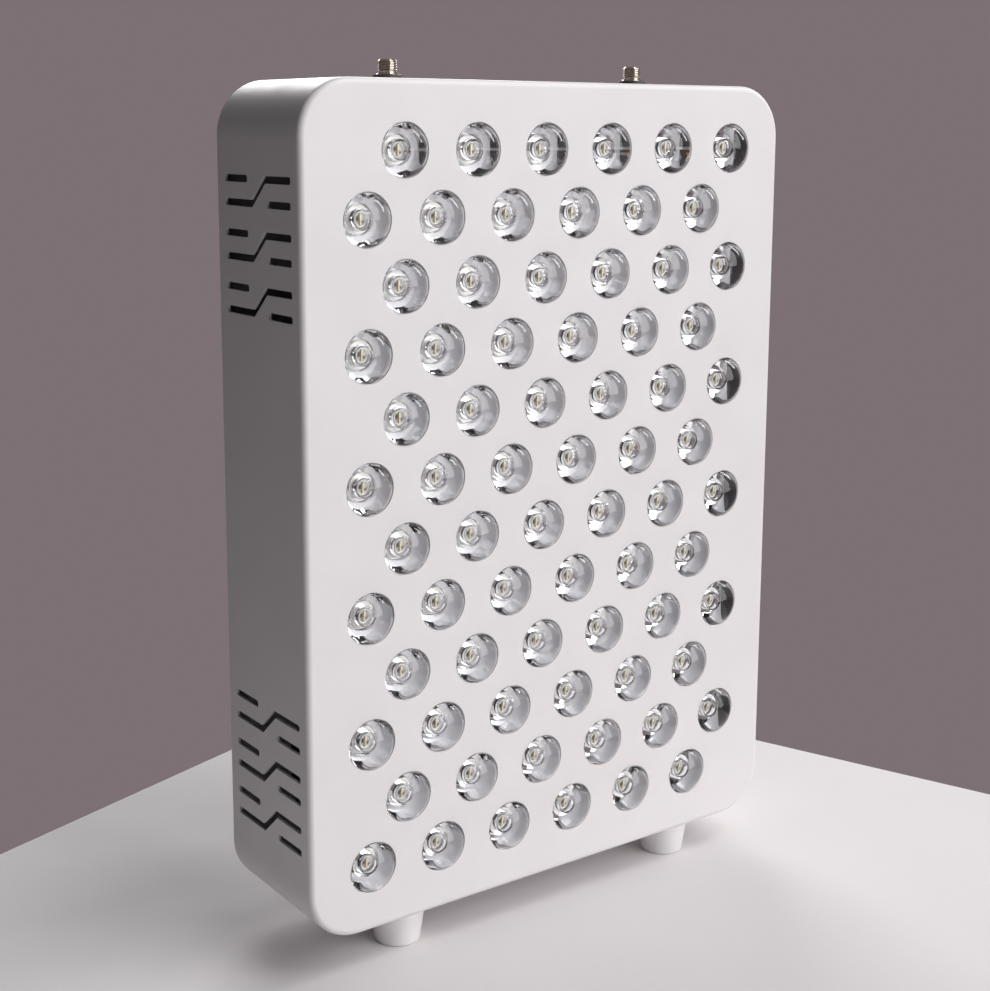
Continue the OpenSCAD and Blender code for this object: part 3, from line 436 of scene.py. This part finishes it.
lens_front = [(0, -DOME_H)] + arc(dome_centre, dome_sphere_r, -90, -90 + dome_edge, DOME_STEPS)[1:]
lens_front += [(LENS_R, WALL), (FLANGE_R, WALL), (FLANGE_R, flange_back), (BAND_R, flange_back)]
collimator = [(BAND_R, flange_back + BAND_STEP), (BAND_R, BAND_BACK)]
collimator += [(WAIST_R, WAIST_DEPTH), (LENS_FOOT_R, lens_foot)]
step_depth = BOARD_DEPTH - POCKET_STEP
pocket = [(POCKET_R, lens_foot), (POCKET_R, step_depth), (POCKET_UPPER_R, step_depth)]
pocket_roof = BOARD_DEPTH - POCKET_ROOF
for s in range(CROWN_STEPS):
    a = math.pi / 2 * s / CROWN_STEPS
    pocket.append((POCKET_UPPER_R * math.cos(a), pocket_roof - POCKET_CROWN * math.sin(a)))
pocket.append((0, pocket_roof - POCKET_CROWN))
lens_profile = [(*p, 0) for p in lens_front]
lens_profile += [(*p, RIPPLE_H) for p in collimator]
lens_profile += [(*p, 0) for p in pocket]


def moulded_lens(bm, place, phase):
    """Lens turned about +Z, whose collimator has faint moulding ripples, each lens at its own phase."""
    rings = []
    for radius, height, ripple in lens_profile:
        if radius < ON_AXIS:
            rings.append([bm.verts.new(place @ Vector((0, 0, height)))])
            continue
        ring = []
        for k in range(LENS_AROUND):
            a = 2 * math.pi * k / LENS_AROUND
            fine = FINE_SHARE * math.cos(FINE_RIPPLES * a + 2 * phase)
            r = radius + ripple * (math.cos(RIPPLES * a + phase) + fine)
            ring.append(bm.verts.new(place @ Vector((r * math.cos(a), r * math.sin(a), height))))
        rings.append(ring)
    for low, high in zip(rings, rings[1:]):
        join_rings(bm, low, high, 0)


for i, row_name in enumerate(LENS_ROWS):
    row = bmesh.new()
    for col, (x, z) in enumerate(lens_centres(row_name)):
        moulded_lens(row, facing_front(x, 0, z), ROW_PHASE * i + COL_PHASE * col)
    piece("clear_" + row_name, row, [MATERIALS["lens"]], replaces=[row_name], sharp=25)

# LEDs: a pale round base with a bright cup on it, and a chip bar and its pads in the cup's shallow dish
LED_BASE_R = 4.0
LED_BASE_H = 1.6
LED_RIM = 0.35
CUP_R = 2.7
CUP_TOP = 3.6
CUP_EDGE = 0.1
CUP_WALL = 0.35
DISH_DEPTH = 0.5
CHIP_BAR = (0.75, 4.0, 0.55)
DARK_PADS = (((0.8, 1.5, 0.2), (-1.25, 0.5)), ((0.5, 0.5, 0.3), (1.1, -0.8)))
LED_AROUND = 40
LED_FINISH = ("led", "led_cup", "led_dish", "chip", "black_plastic")
BASE_INDEX, CUP_INDEX, DISH_INDEX, CHIP_INDEX, PAD_INDEX = range(len(LED_FINISH))
dish_r = CUP_R - CUP_WALL - CUP_EDGE
dish_floor = CUP_TOP - DISH_DEPTH
led_base = [(0, 0), (LED_BASE_R, 0), (LED_BASE_R, LED_BASE_H - LED_RIM)]
led_base += [(LED_BASE_R - LED_RIM, LED_BASE_H), (CUP_R + LED_RIM, LED_BASE_H)]
led_cup = [(CUP_R + LED_RIM, LED_BASE_H), (CUP_R, LED_BASE_H + LED_RIM), (CUP_R, CUP_TOP - CUP_EDGE)]
led_cup += [(CUP_R - CUP_EDGE, CUP_TOP), (CUP_R - CUP_WALL + CUP_EDGE, CUP_TOP)]
led_cup += [(CUP_R - CUP_WALL, CUP_TOP - CUP_EDGE), (dish_r, dish_floor)]
led_dish = [(dish_r, dish_floor), (0, dish_floor)]

LED_GROUPS = [n for n in NODES if n.startswith("leds_")]
for group in LED_GROUPS:
    channel = 0 if "red" in group else 1
    low, high = box_mm(group)
    leds = bmesh.new()
    for row, row_name in enumerate(LENS_ROWS, 1):
        for col, (x, z) in enumerate(lens_centres(row_name)):
            if (row + col) % 2 != channel or not low.z <= z <= high.z:
                continue
            place = facing_back(x, BOARD_DEPTH, z)
            lathe(leds, led_base, place, LED_AROUND, BASE_INDEX)
            lathe(leds, led_cup, place, LED_AROUND, CUP_INDEX)
            lathe(leds, led_dish, place, LED_AROUND, DISH_INDEX)
            dish = place @ Matrix.Translation((0, 0, dish_floor))
            block(leds, CHIP_BAR, dish, CHIP_INDEX)
            for size, spot in DARK_PADS:
                block(leds, size, dish @ Matrix.Translation((*spot, 0)), PAD_INDEX)
    bmesh.ops.remove_doubles(leds, verts=leds.verts, dist=WELD)
    finish = [MATERIALS[m] for m in LED_FINISH]
    piece("lit_" + group, leds, finish, replaces=[group])

# Small parts on the boards beside the lenses' feet: resistors, and dark terminal blocks along the top row
RESISTOR = (2.0, 1.2, 0.55)
RESISTOR_END = (0.4, 1.24, 0.58)
RESISTOR_R = 9.4
ONE_ANGLE, TWO_ANGLES = (-60,), (-55, 150)
TERMINAL = (5.2, 3.6, 0.5)
TERMINAL_X = 9.4
TERMINAL_Z = (2.1, -2.1)
CONTACT = (1.8, 1.8, 0.7)
CONTACT_SPOT = (-0.6, 0.4, 0)
PARTS_FINISH = ("black_plastic", "bright_wire", "copper")
BODY_INDEX, END_INDEX, CONTACT_INDEX = range(len(PARTS_FINISH))
for half in ("upper", "lower"):
    low, high = box_mm("led_board_" + half)
    parts = bmesh.new()
    for row, row_name in enumerate(LENS_ROWS):
        for col, (x, z) in enumerate(lens_centres(row_name)):
            if not low.z <= z <= high.z:
                continue
            if row == 0 and col < LENSES_IN_ROW - 1:
                for step in TERMINAL_Z:
                    place = facing_back(x + TERMINAL_X, BOARD_DEPTH, z + step)
                    block(parts, TERMINAL, place, BODY_INDEX)
                    block(parts, CONTACT, place @ Matrix.Translation(CONTACT_SPOT), CONTACT_INDEX)
                continue
            for angle in ONE_ANGLE if (row + col) % 3 else TWO_ANGLES:
                turn = math.radians(angle)
                off_x, off_z = RESISTOR_R * math.cos(turn), RESISTOR_R * math.sin(turn)
                place = facing_back(x + off_x, BOARD_DEPTH, z + off_z)
                place = place @ Matrix.Rotation(math.radians(90 if (row + col) % 2 else 0), 4, "Z")
                block(parts, RESISTOR, place, BODY_INDEX)
                for side in (-1, 1):
                    end = place @ Matrix.Translation((side * RESISTOR[0] / 2, 0, 0))
                    block(parts, RESISTOR_END, end, END_INDEX)
    finish = [MATERIALS[m] for m in PARTS_FINISH]
    piece("parts_on_board_" + half, parts, finish)

# Hanging studs with a real thread, and their washers
THREAD_PITCH = 1.0
STUD_R = 4.0
ROOT_R = 3.52
STUD_CHAMFER = 0.7
STUD_FLANGE_R = 4.6
STUD_FLANGE_T = 0.5
FLANGE_HOLE_R = STUD_R - 0.8
FLANGE_LOW_EDGE, FLANGE_TOP_EDGE = 0.15, 0.25
SHANK_R = 3.7
SHANK_H = 1.5
THREAD = [(0.0, STUD_R), (0.4, STUD_R), (0.66, ROOT_R), (0.76, ROOT_R)]
THREAD_STEPS = 3
SPARE_TURNS_BELOW, SPARE_TURNS_ABOVE = 2, 1
LEAST_R = 0.5
STUD_AROUND = 48
washer_low, washer_high = box_mm("stud_washers")
WASHER_R = (washer_high.y - washer_low.y) / 2
WASHER_T = washer_high.z - washer_low.z


def threaded_rod(bm, place, low, high, shank):
    """Rod along +Z with a helical thread and chamfered ends, plain and thinner at the shank's heights."""
    profile = []
    for (f0, r0), (f1, r1) in zip(THREAD, THREAD[1:] + [(1.0, STUD_R)]):
        for i in range(THREAD_STEPS):
            profile.append((f0 + (f1 - f0) * i / THREAD_STEPS, r0 + (r1 - r0) * i / THREAD_STEPS))
    made = []
    turns = math.ceil((high - low) / THREAD_PITCH) + SPARE_TURNS_BELOW + SPARE_TURNS_ABOVE
    for step in range(turns * len(profile)):
        share, radius = profile[step % len(profile)]
        row = []
        for k in range(STUD_AROUND + 1):
            height = low + THREAD_PITCH * (step // len(profile) - SPARE_TURNS_BELOW + share + k / STUD_AROUND)
            end = min(height - low, high - height)
            plain = max(shank[0] - height, height - shank[1], 0)
            r = max(LEAST_R, min(radius, STUD_R - STUD_CHAMFER + end, SHANK_R + plain))
            angle = 2 * math.pi * k / STUD_AROUND
            row.append(bm.verts.new(place @ Vector((r * math.cos(angle), r * math.sin(angle), height))))
        made.append(row)
    for lower, upper in zip(made, made[1:]):
        for k in range(STUD_AROUND):
            bm.faces.new([lower[k], lower[k + 1], upper[k + 1], upper[k]]).smooth = True
    bmesh.ops.remove_doubles(bm, verts=bm.verts, dist=WELD)
    for height, way in ((low, -1), (high, 1)):
        geometry = bm.verts[:] + bm.edges[:] + bm.faces[:]
        cut = bmesh.ops.bisect_plane(
            bm, geom=geometry, plane_co=place @ Vector((0, 0, height)), plane_no=(0, 0, way), clear_outer=True
        )
        edges = [e for e in cut["geom_cut"] if isinstance(e, bmesh.types.BMEdge)]
        bmesh.ops.edgenet_fill(bm, edges=edges)


for side in ("left", "right"):
    node = "hanging_stud_" + side
    low, high = box_mm(node)
    stud = bmesh.new()
    place = upright((low.x + high.x) / 2, (low.y + high.y) / 2, 0)
    flange_z = washer_high.z
    threaded_rod(stud, place, low.z, high.z, (flange_z, flange_z + SHANK_H))
    flange_top = flange_z + STUD_FLANGE_T
    lathe(stud, [
        (FLANGE_HOLE_R, flange_z), (STUD_FLANGE_R - FLANGE_LOW_EDGE, flange_z),
        (STUD_FLANGE_R, flange_z + FLANGE_LOW_EDGE), (STUD_FLANGE_R, flange_top - FLANGE_TOP_EDGE),
        (STUD_FLANGE_R - FLANGE_TOP_EDGE, flange_top), (FLANGE_HOLE_R, flange_top),
    ], place, closed=True)
    piece("threaded_" + node, stud, [MATERIALS["nickel"]], replaces=[node], sharp=28)

# Corners of a washer: out from the stud or in from the rim, and up from below or down from the top
BORE_LOW, BORE_TOP = ((0.15, 0.1), (0.25, 0)), ((0.35, 0), (0.15, 0.2))
RIM_LOW, RIM_TOP = ((0.2, 0), (0, 0.2)), ((0, 0.3), (0.1, 0.1), (0.3, 0))
outline = [(STUD_R + out, up) for out, up in BORE_LOW]
outline += [(WASHER_R - into, up) for into, up in RIM_LOW]
outline += [(WASHER_R - into, WASHER_T - down) for into, down in RIM_TOP]
outline += [(STUD_R + out, WASHER_T - down) for out, down in BORE_TOP]
washers = bmesh.new()
for x in (washer_low.x + WASHER_R, washer_high.x - WASHER_R):
    lathe(washers, outline, upright(x, (washer_low.y + washer_high.y) / 2, washer_low.z), closed=True)
piece("rounded_washers", washers, [MATERIALS["washer"]], replaces=["stud_washers"])

# Feet: moulded cones with rounded rims, a screw recess below and a fine parting step under the top
FOOT_BOTTOM_R = 10.0
FOOT_RIM = 0.8
FOOT_RECESS_R = 3.85
FOOT_RECESS = 7.0
FOOT_HOLE_R = 2.25
FOOT_RECESS_EDGE = 0.4
FOOT_RIM_ARC = (-90, -8, 6)
FOOT_PARTING = 1.4
# Corners of the parting step and the top: in from the side and down from the top
FOOT_TOP = ((0.35, 1.2), (0.2, 0.3), (0.5, 0))
FOOT_AROUND = 72
for node in [n for n in NODES if n.startswith("foot_") and n.split("_")[-1] in ("left", "right")]:
    low, high = box_mm(node)
    top_r, top = (high.x - low.x) / 2, high.z - low.z
    foot = bmesh.new()
    slope = (top_r - FOOT_BOTTOM_R) / top
    outline = [(FOOT_HOLE_R, FOOT_RECESS), (FOOT_RECESS_R, FOOT_RECESS)]
    outline += [(FOOT_RECESS_R, FOOT_RECESS_EDGE), (FOOT_RECESS_R + FOOT_RECESS_EDGE, 0)]
    outline += arc((FOOT_BOTTOM_R - FOOT_RIM, FOOT_RIM), FOOT_RIM, *FOOT_RIM_ARC)
    outline += [(FOOT_BOTTOM_R + slope * (top - FOOT_PARTING), top - FOOT_PARTING)]
    outline += [(top_r - into, top - down) for into, down in FOOT_TOP]
    outline += [(FOOT_HOLE_R, top)]
    place = upright((low.x + high.x) / 2, (low.y + high.y) / 2, low.z)
    lathe(foot, outline, place, FOOT_AROUND, closed=True)
    piece("moulded_" + node, foot, [MATERIALS["foot"]], replaces=[node])

# Fan guards of round wire, and rotors with curved blades
GUARD_WIRE = 0.8
GUARD_RINGS = (4.6, 12.2, 19.8, 27.4, 35.0)
FAN_HOLE_PITCH = 71.5
EYE_R = 3.05
EYE_AROUND = 32
GUARD_AROUND = 72
ARM_TURNS = (45, 135, 225, 315)
ARM_STEPS = 8
HUB_R = 17.5
HUB_WALL = 1.8
HUB_FRONT, HUB_BACK = 5.0, 22.0
HUB_GROOVE = ((10.6, 0), (10.9, 0.4), (11.5, 0.4), (11.8, 0))
HUB_ROUND, HUB_ROUND_STEPS = 2.5, 6
HUB_EDGE = 0.3
HUB_AROUND = 72
BLADE_R = 36.8
BLADE_FRONT, BLADE_BACK = 6.0, 21.0
BLADE_SLOPE = math.radians(48)
BLADE_EDGE_T, BLADE_SWELL = 0.2, 0.6
BLADE_CAMBER = 1.3
BLADE_ACROSS, BLADE_ALONG = 12, 10
TIP_START, TIP_SHARE, TIP_TRIM = 0.8, 0.2, 0.10
BLADES = 7
SHAFT_R = 1.5
SHAFT_FRONT = 3.0
SHAFT_EDGE = 0.2
eye = FAN_HOLE_PITCH / math.sqrt(2)
arm_length = eye - EYE_R - GUARD_RINGS[0]
arm_path = [(GUARD_RINGS[0] + arm_length * i / ARM_STEPS, 0) for i in range(ARM_STEPS + 1)]
hub_inner_r, hub_roof = HUB_R - HUB_WALL, HUB_BACK - HUB_WALL
hub = [(0, HUB_BACK)] + [(radius, HUB_BACK - sunk) for radius, sunk in HUB_GROOVE]
hub += arc((HUB_R - HUB_ROUND, HUB_BACK - HUB_ROUND), HUB_ROUND, 90, 0, HUB_ROUND_STEPS)
hub += [(HUB_R, HUB_FRONT + HUB_EDGE), (HUB_R - HUB_EDGE, HUB_FRONT)]
hub += [(hub_inner_r + HUB_EDGE, HUB_FRONT), (hub_inner_r, HUB_FRONT + HUB_EDGE), (hub_inner_r, hub_roof)]
hub += [(SHAFT_R, hub_roof), (SHAFT_R, SHAFT_FRONT + SHAFT_EDGE)]
hub += [(SHAFT_R - SHAFT_EDGE, SHAFT_FRONT), (0, SHAFT_FRONT)]


def blade(bm, place):
    """Cambered blade, thickest in the middle, with rounded corners at its tip."""
    height = BLADE_BACK - BLADE_FRONT
    faces_of = []
    for j in range(BLADE_ALONG + 1):
        share = j / BLADE_ALONG
        r = HUB_R - HUB_WALL / 2 + (BLADE_R - HUB_R + HUB_WALL / 2) * share
        trim = TIP_TRIM * max(0, (share - TIP_START) / TIP_SHARE) ** 2
        ring = []
        for face in (1, -1):
            for i in range(BLADE_ACROSS + 1) if face > 0 else range(BLADE_ACROSS - 1, 0, -1):
                s = trim + (1 - 2 * trim) * i / BLADE_ACROSS
                thickness = BLADE_EDGE_T + BLADE_SWELL * math.sin(math.pi * i / BLADE_ACROSS)
                half = face * thickness * (i not in (0, BLADE_ACROSS))
                axial = BLADE_FRONT + height * s + half * math.sin(BLADE_SLOPE)
                sideways = -math.tan(BLADE_SLOPE) * height * (s - 0.5) + half * math.cos(BLADE_SLOPE)
                sideways += BLADE_CAMBER * math.sin(math.pi * s)
                turn = sideways / r
                axial = min(max(axial, BLADE_FRONT), BLADE_BACK)
                ring.append(bm.verts.new(place @ Vector((r * math.cos(turn), r * math.sin(turn), axial))))
        faces_of.append(ring)
    for low, high in zip(faces_of, faces_of[1:]):
        join_rings(bm, low, high, 0)
    for ring in (faces_of[0], faces_of[-1]):
        bm.faces.new(ring)


for half in ("upper", "lower"):
    low, high = box_mm("fan_guard_" + half)
    centre_z = (low.z + high.z) / 2
    guard = bmesh.new()
    place = Matrix.Translation((0, low.y + GUARD_WIRE, centre_z))
    place = place @ Matrix.Rotation(math.radians(-90), 4, "X")
    for radius in GUARD_RINGS:
        tube(guard, circle_path(radius, GUARD_AROUND), GUARD_WIRE, place, closed=True)
    for turn in ARM_TURNS:
        arm = place @ Matrix.Rotation(math.radians(turn), 4, "Z")
        tube(guard, arm_path, GUARD_WIRE, arm)
        tube(guard, circle_path(EYE_R, EYE_AROUND, (eye, 0)), GUARD_WIRE, arm, closed=True)
    wire = [MATERIALS["bright_wire"]]
    piece("wire_guard_" + half, guard, wire, replaces=["fan_guard_" + half])

    low, high = box_mm("fan_frame_" + half)
    rotor = bmesh.new()
    place = facing_front(0, low.y - FRONT_Y, centre_z)
    lathe(rotor, hub, place, HUB_AROUND)
    for i in range(BLADES):
        blade(rotor, place @ Matrix.Rotation(2 * math.pi * i / BLADES, 4, "Z"))
    piece(
        "bladed_rotor_" + half, rotor, [MATERIALS["black_plastic"]],
        body="fan_rotor_" + half, replaces=["fan_rotor_" + half],
    )

# Switch rockers: dished faces, rounded edges and the marks for on and off
ROCKER_W = 10.3
ROCKER_HALF = 8.2
ROCKER_END_H = 5.5
ROCKER_MID_H = 3.6
ROCKER_ROOT = 4.0
ROCKER_TILT = math.radians(-8)
PIVOT_R = 1.2
PIVOT_L = 12.3
PIVOT_EDGE = 0.2
PIVOT_AROUND = 24
ROCKER_EDGE = 0.5
ROCKER_ROOT_HALF = ROCKER_HALF / 3
# Corners at the ends of the face: down from the end's height and in from the end
ROCKER_CORNER = ((1.0, 0), (0.25, 0.15))
DISH_REACH = 0.94
DISH_POWER = 1.3
DISH_STEPS = 10
MARK_SHARE = 0.55
MARK_PROUD = 0.06
MARK_T = 0.3
MARK_EDGE = 0.04
BAR_HALF_W, BAR_HALF_L = 0.45, 1.9
RING_INNER_R, RING_OUTER_R = 1.35, 2.15
RING_AROUND = 40
# Outlines have the part's Y as their X and its Z as their Y, and are drawn out along its X
SIDE_ON = Matrix(((0, 0, 1, 0), (1, 0, 0, 0), (0, 1, 0, 0), (0, 0, 0, 1)))
dish_h = ROCKER_END_H - ROCKER_MID_H
dish = []
for k in range(-DISH_STEPS, DISH_STEPS + 1):
    t = k / DISH_STEPS
    dish.append((ROCKER_MID_H + dish_h * abs(t) ** DISH_POWER, ROCKER_HALF * t * DISH_REACH))
corner = [(ROCKER_END_H - down, ROCKER_HALF - into) for down, into in ROCKER_CORNER]
outline = [(-PIVOT_R, -ROCKER_HALF)] + [(height, -end) for height, end in corner]
outline += dish + corner[::-1] + [(-PIVOT_R, ROCKER_HALF)]
outline += [(-ROCKER_ROOT, ROCKER_ROOT_HALF), (-ROCKER_ROOT, -ROCKER_ROOT_HALF)]
pin = [(0, -PIVOT_L / 2), (PIVOT_R - PIVOT_EDGE, -PIVOT_L / 2), (PIVOT_R, PIVOT_EDGE - PIVOT_L / 2)]
pin += [(PIVOT_R, PIVOT_L / 2 - PIVOT_EDGE), (PIVOT_R - PIVOT_EDGE, PIVOT_L / 2), (0, PIVOT_L / 2)]
on_mark = [(-BAR_HALF_W, -BAR_HALF_L), (BAR_HALF_W, -BAR_HALF_L)]
on_mark += [(BAR_HALF_W, BAR_HALF_L), (-BAR_HALF_W, BAR_HALF_L)]
off_mark = [(RING_INNER_R, -MARK_T), (RING_OUTER_R, -MARK_T), (RING_OUTER_R, -MARK_EDGE)]
off_mark += [(RING_OUTER_R - MARK_EDGE, 0), (RING_INNER_R + MARK_EDGE, 0), (RING_INNER_R, -MARK_EDGE)]
mark_depth = ROCKER_MID_H + dish_h * MARK_SHARE ** DISH_POWER
mark_slope = math.atan(DISH_POWER * dish_h / (ROCKER_HALF * DISH_REACH) * MARK_SHARE ** (DISH_POWER - 1))
for channel in ("red", "nir"):
    node = "switch_rocker_" + channel
    low, high = box_mm(node)
    body_low, body_high = box_mm("switch_body_" + channel)
    pivot = Matrix.Translation(((low.x + high.x) / 2, REAR_Y, (body_low.z + body_high.z) / 2))
    tilt = pivot @ Matrix.Rotation(ROCKER_TILT, 4, "X")
    rocker = bmesh.new()
    prism(rocker, outline, -ROCKER_W / 2, ROCKER_W / 2, ROCKER_EDGE, tilt @ SIDE_ON)
    lathe(rocker, pin, tilt @ SIDE_ON, PIVOT_AROUND)
    piece("moulded_" + node, rocker, [MATERIALS["rocker"]], body=node, replaces=[node])

    marks = bmesh.new()
    for end in (1, -1):
        spot = (0, mark_depth + MARK_PROUD, end * ROCKER_HALF * DISH_REACH * MARK_SHARE)
        place = tilt @ Matrix.Translation(spot)
        place = place @ Matrix.Rotation(math.radians(-90) - end * mark_slope, 4, "X")
        if end > 0:
            prism(marks, on_mark, -MARK_T, 0, MARK_EDGE, place)
        else:
            lathe(marks, off_mark, place, RING_AROUND, closed=True)
    piece("marks_" + node, marks, [MATERIALS["mark"]], body=node)

# Stage: pale floor whose far corner lies behind the panel, and soft boxes
FLOOR_CORNER = (135, 280)
FLOOR_TURN = 20
FLOOR_SIZE = 1600
FLOOR_T = 20
FLOOR_BEVEL, FLOOR_BEVEL_STEPS = 3, 3
FLOOR_TONES = [(0.74, 0.705, 0.714), (0.77, 0.735, 0.744)]
floor_mesh = bmesh.new()
floor_place = Matrix.Translation((*FLOOR_CORNER, -FLOOR_T))
floor_place = floor_place @ Matrix.Rotation(math.radians(FLOOR_TURN), 4, "Z")
floor_place = floor_place @ Matrix.Translation((-FLOOR_SIZE / 2, -FLOOR_SIZE / 2, 0))
block(floor_mesh, (FLOOR_SIZE, FLOOR_SIZE, FLOOR_T), floor_place)
bmesh.ops.bevel(
    floor_mesh, geom=floor_mesh.edges[:], offset=FLOOR_BEVEL, segments=FLOOR_BEVEL_STEPS, affect="EDGES"
)
floor_mesh.transform(Matrix.Scale(MM, 4))
floor_data = bpy.data.meshes.new("floor")
floor_mesh.to_mesh(floor_data)
floor_mesh.free()
floor_look = surface("floor", FLOOR_TONES, (0.6, 0.7), 6, 400, 0.05, 0.1, Specular_IOR_Level=0.2)
floor_data.materials.append(floor_look)
floor = bpy.data.objects.new("floor", floor_data)
bpy.context.scene.collection.objects.link(floor)


def soft_box(name, place, target, width, height, power):
    """Area lamp in metres, aimed at a target, that the camera doesn't see."""
    lamp = bpy.data.lights.new(name, "AREA")
    lamp.shape = "RECTANGLE"
    lamp.size = width
    lamp.size_y = height
    lamp.energy = power
    made = bpy.data.objects.new(name, lamp)
    made.location = place
    made.rotation_mode = "QUATERNION"
    made.rotation_quaternion = (Vector(target) - Vector(place)).to_track_quat("-Z", "Y")
    made.visible_camera = False
    bpy.context.scene.collection.objects.link(made)


MIDDLE = (0, 0, 0.19)
soft_box("front_box", (1.28, -2.48, 1.41), MIDDLE, 2.72, 2.56, 72)
soft_box("side_strip", (1.28, -0.25, 1.14), (0, 0, 0.30), 0.22, 0.9, 5)
soft_box("rear_box", (0.80, 1.75, 1.05), MIDDLE, 1.2, 1.0, 26)
soft_box("top_box", (0.60, -0.75, 1.9), (0, -0.25, 0), 1.2, 1.0, 13)

# World: faint ambient light, and a plain backdrop where it is seen, mirrored or seen through a lens
AMBIENT, AMBIENT_STRENGTH = (0.93, 1.0, 0.98, 1), 0.035
BACKDROP = (0.202, 0.164, 0.176, 1)
world = bpy.data.worlds.new("studio")
bpy.context.scene.world = world
world.use_nodes = True
sky = world.node_tree
ambient = sky.nodes["Background"]
ambient.inputs["Color"].default_value = AMBIENT
ambient.inputs["Strength"].default_value = AMBIENT_STRENGTH
backdrop = sky.nodes.new("ShaderNodeBackground")
backdrop.inputs["Color"].default_value = BACKDROP
rays = sky.nodes.new("ShaderNodeLightPath").outputs
seen = math_node(sky, "MAXIMUM", rays["Is Camera Ray"], rays["Is Glossy Ray"])
seen = math_node(sky, "MAXIMUM", seen, rays["Is Transmission Ray"])
choice = sky.nodes.new("ShaderNodeMixShader")
sky.links.new(seen, choice.inputs["Fac"])
sky.links.new(ambient.outputs["Background"], choice.inputs[1])
sky.links.new(backdrop.outputs["Background"], choice.inputs[2])
sky.links.new(choice.outputs["Shader"], sky.nodes["World Output"].inputs["Surface"])

# Camera at the photograph's viewing angle
IMAGE_W, IMAGE_H = 990, 991
FOCAL_PIXELS = 1608.5
AXIS_PIXEL_Y = 402.0
CAMERA_PLACE = (-427.80, -575.03, 349.29)
YAW, PITCH, ROLL = (math.radians(a) for a in (35.984, 9.715, -0.253))
SENSOR = 36.0
CLIP_START = 0.01
camera_data = bpy.data.cameras.new("camera")
camera_data.sensor_fit = "HORIZONTAL"
camera_data.sensor_width = SENSOR
camera_data.lens = SENSOR * FOCAL_PIXELS / IMAGE_W
camera_data.shift_y = (AXIS_PIXEL_Y - IMAGE_H / 2) / IMAGE_W
camera_data.clip_start = CLIP_START
ahead = Vector((math.sin(YAW) * math.cos(PITCH), math.cos(YAW) * math.cos(PITCH), -math.sin(PITCH)))
right = Vector((math.cos(YAW), -math.sin(YAW), 0))
down = ahead.cross(right)
right, down = (
    math.cos(ROLL) * right + math.sin(ROLL) * down,
    math.cos(ROLL) * down - math.sin(ROLL) * right,
)
turn = Matrix((right, -down, -ahead)).transposed().to_4x4()
camera = bpy.data.objects.new("camera", camera_data)
camera.matrix_world = Matrix.Translation(Vector(CAMERA_PLACE) * MM) @ turn
bpy.context.scene.collection.objects.link(camera)
bpy.context.scene.camera = camera

bpy.context.scene.view_settings.view_transform = "Standard"
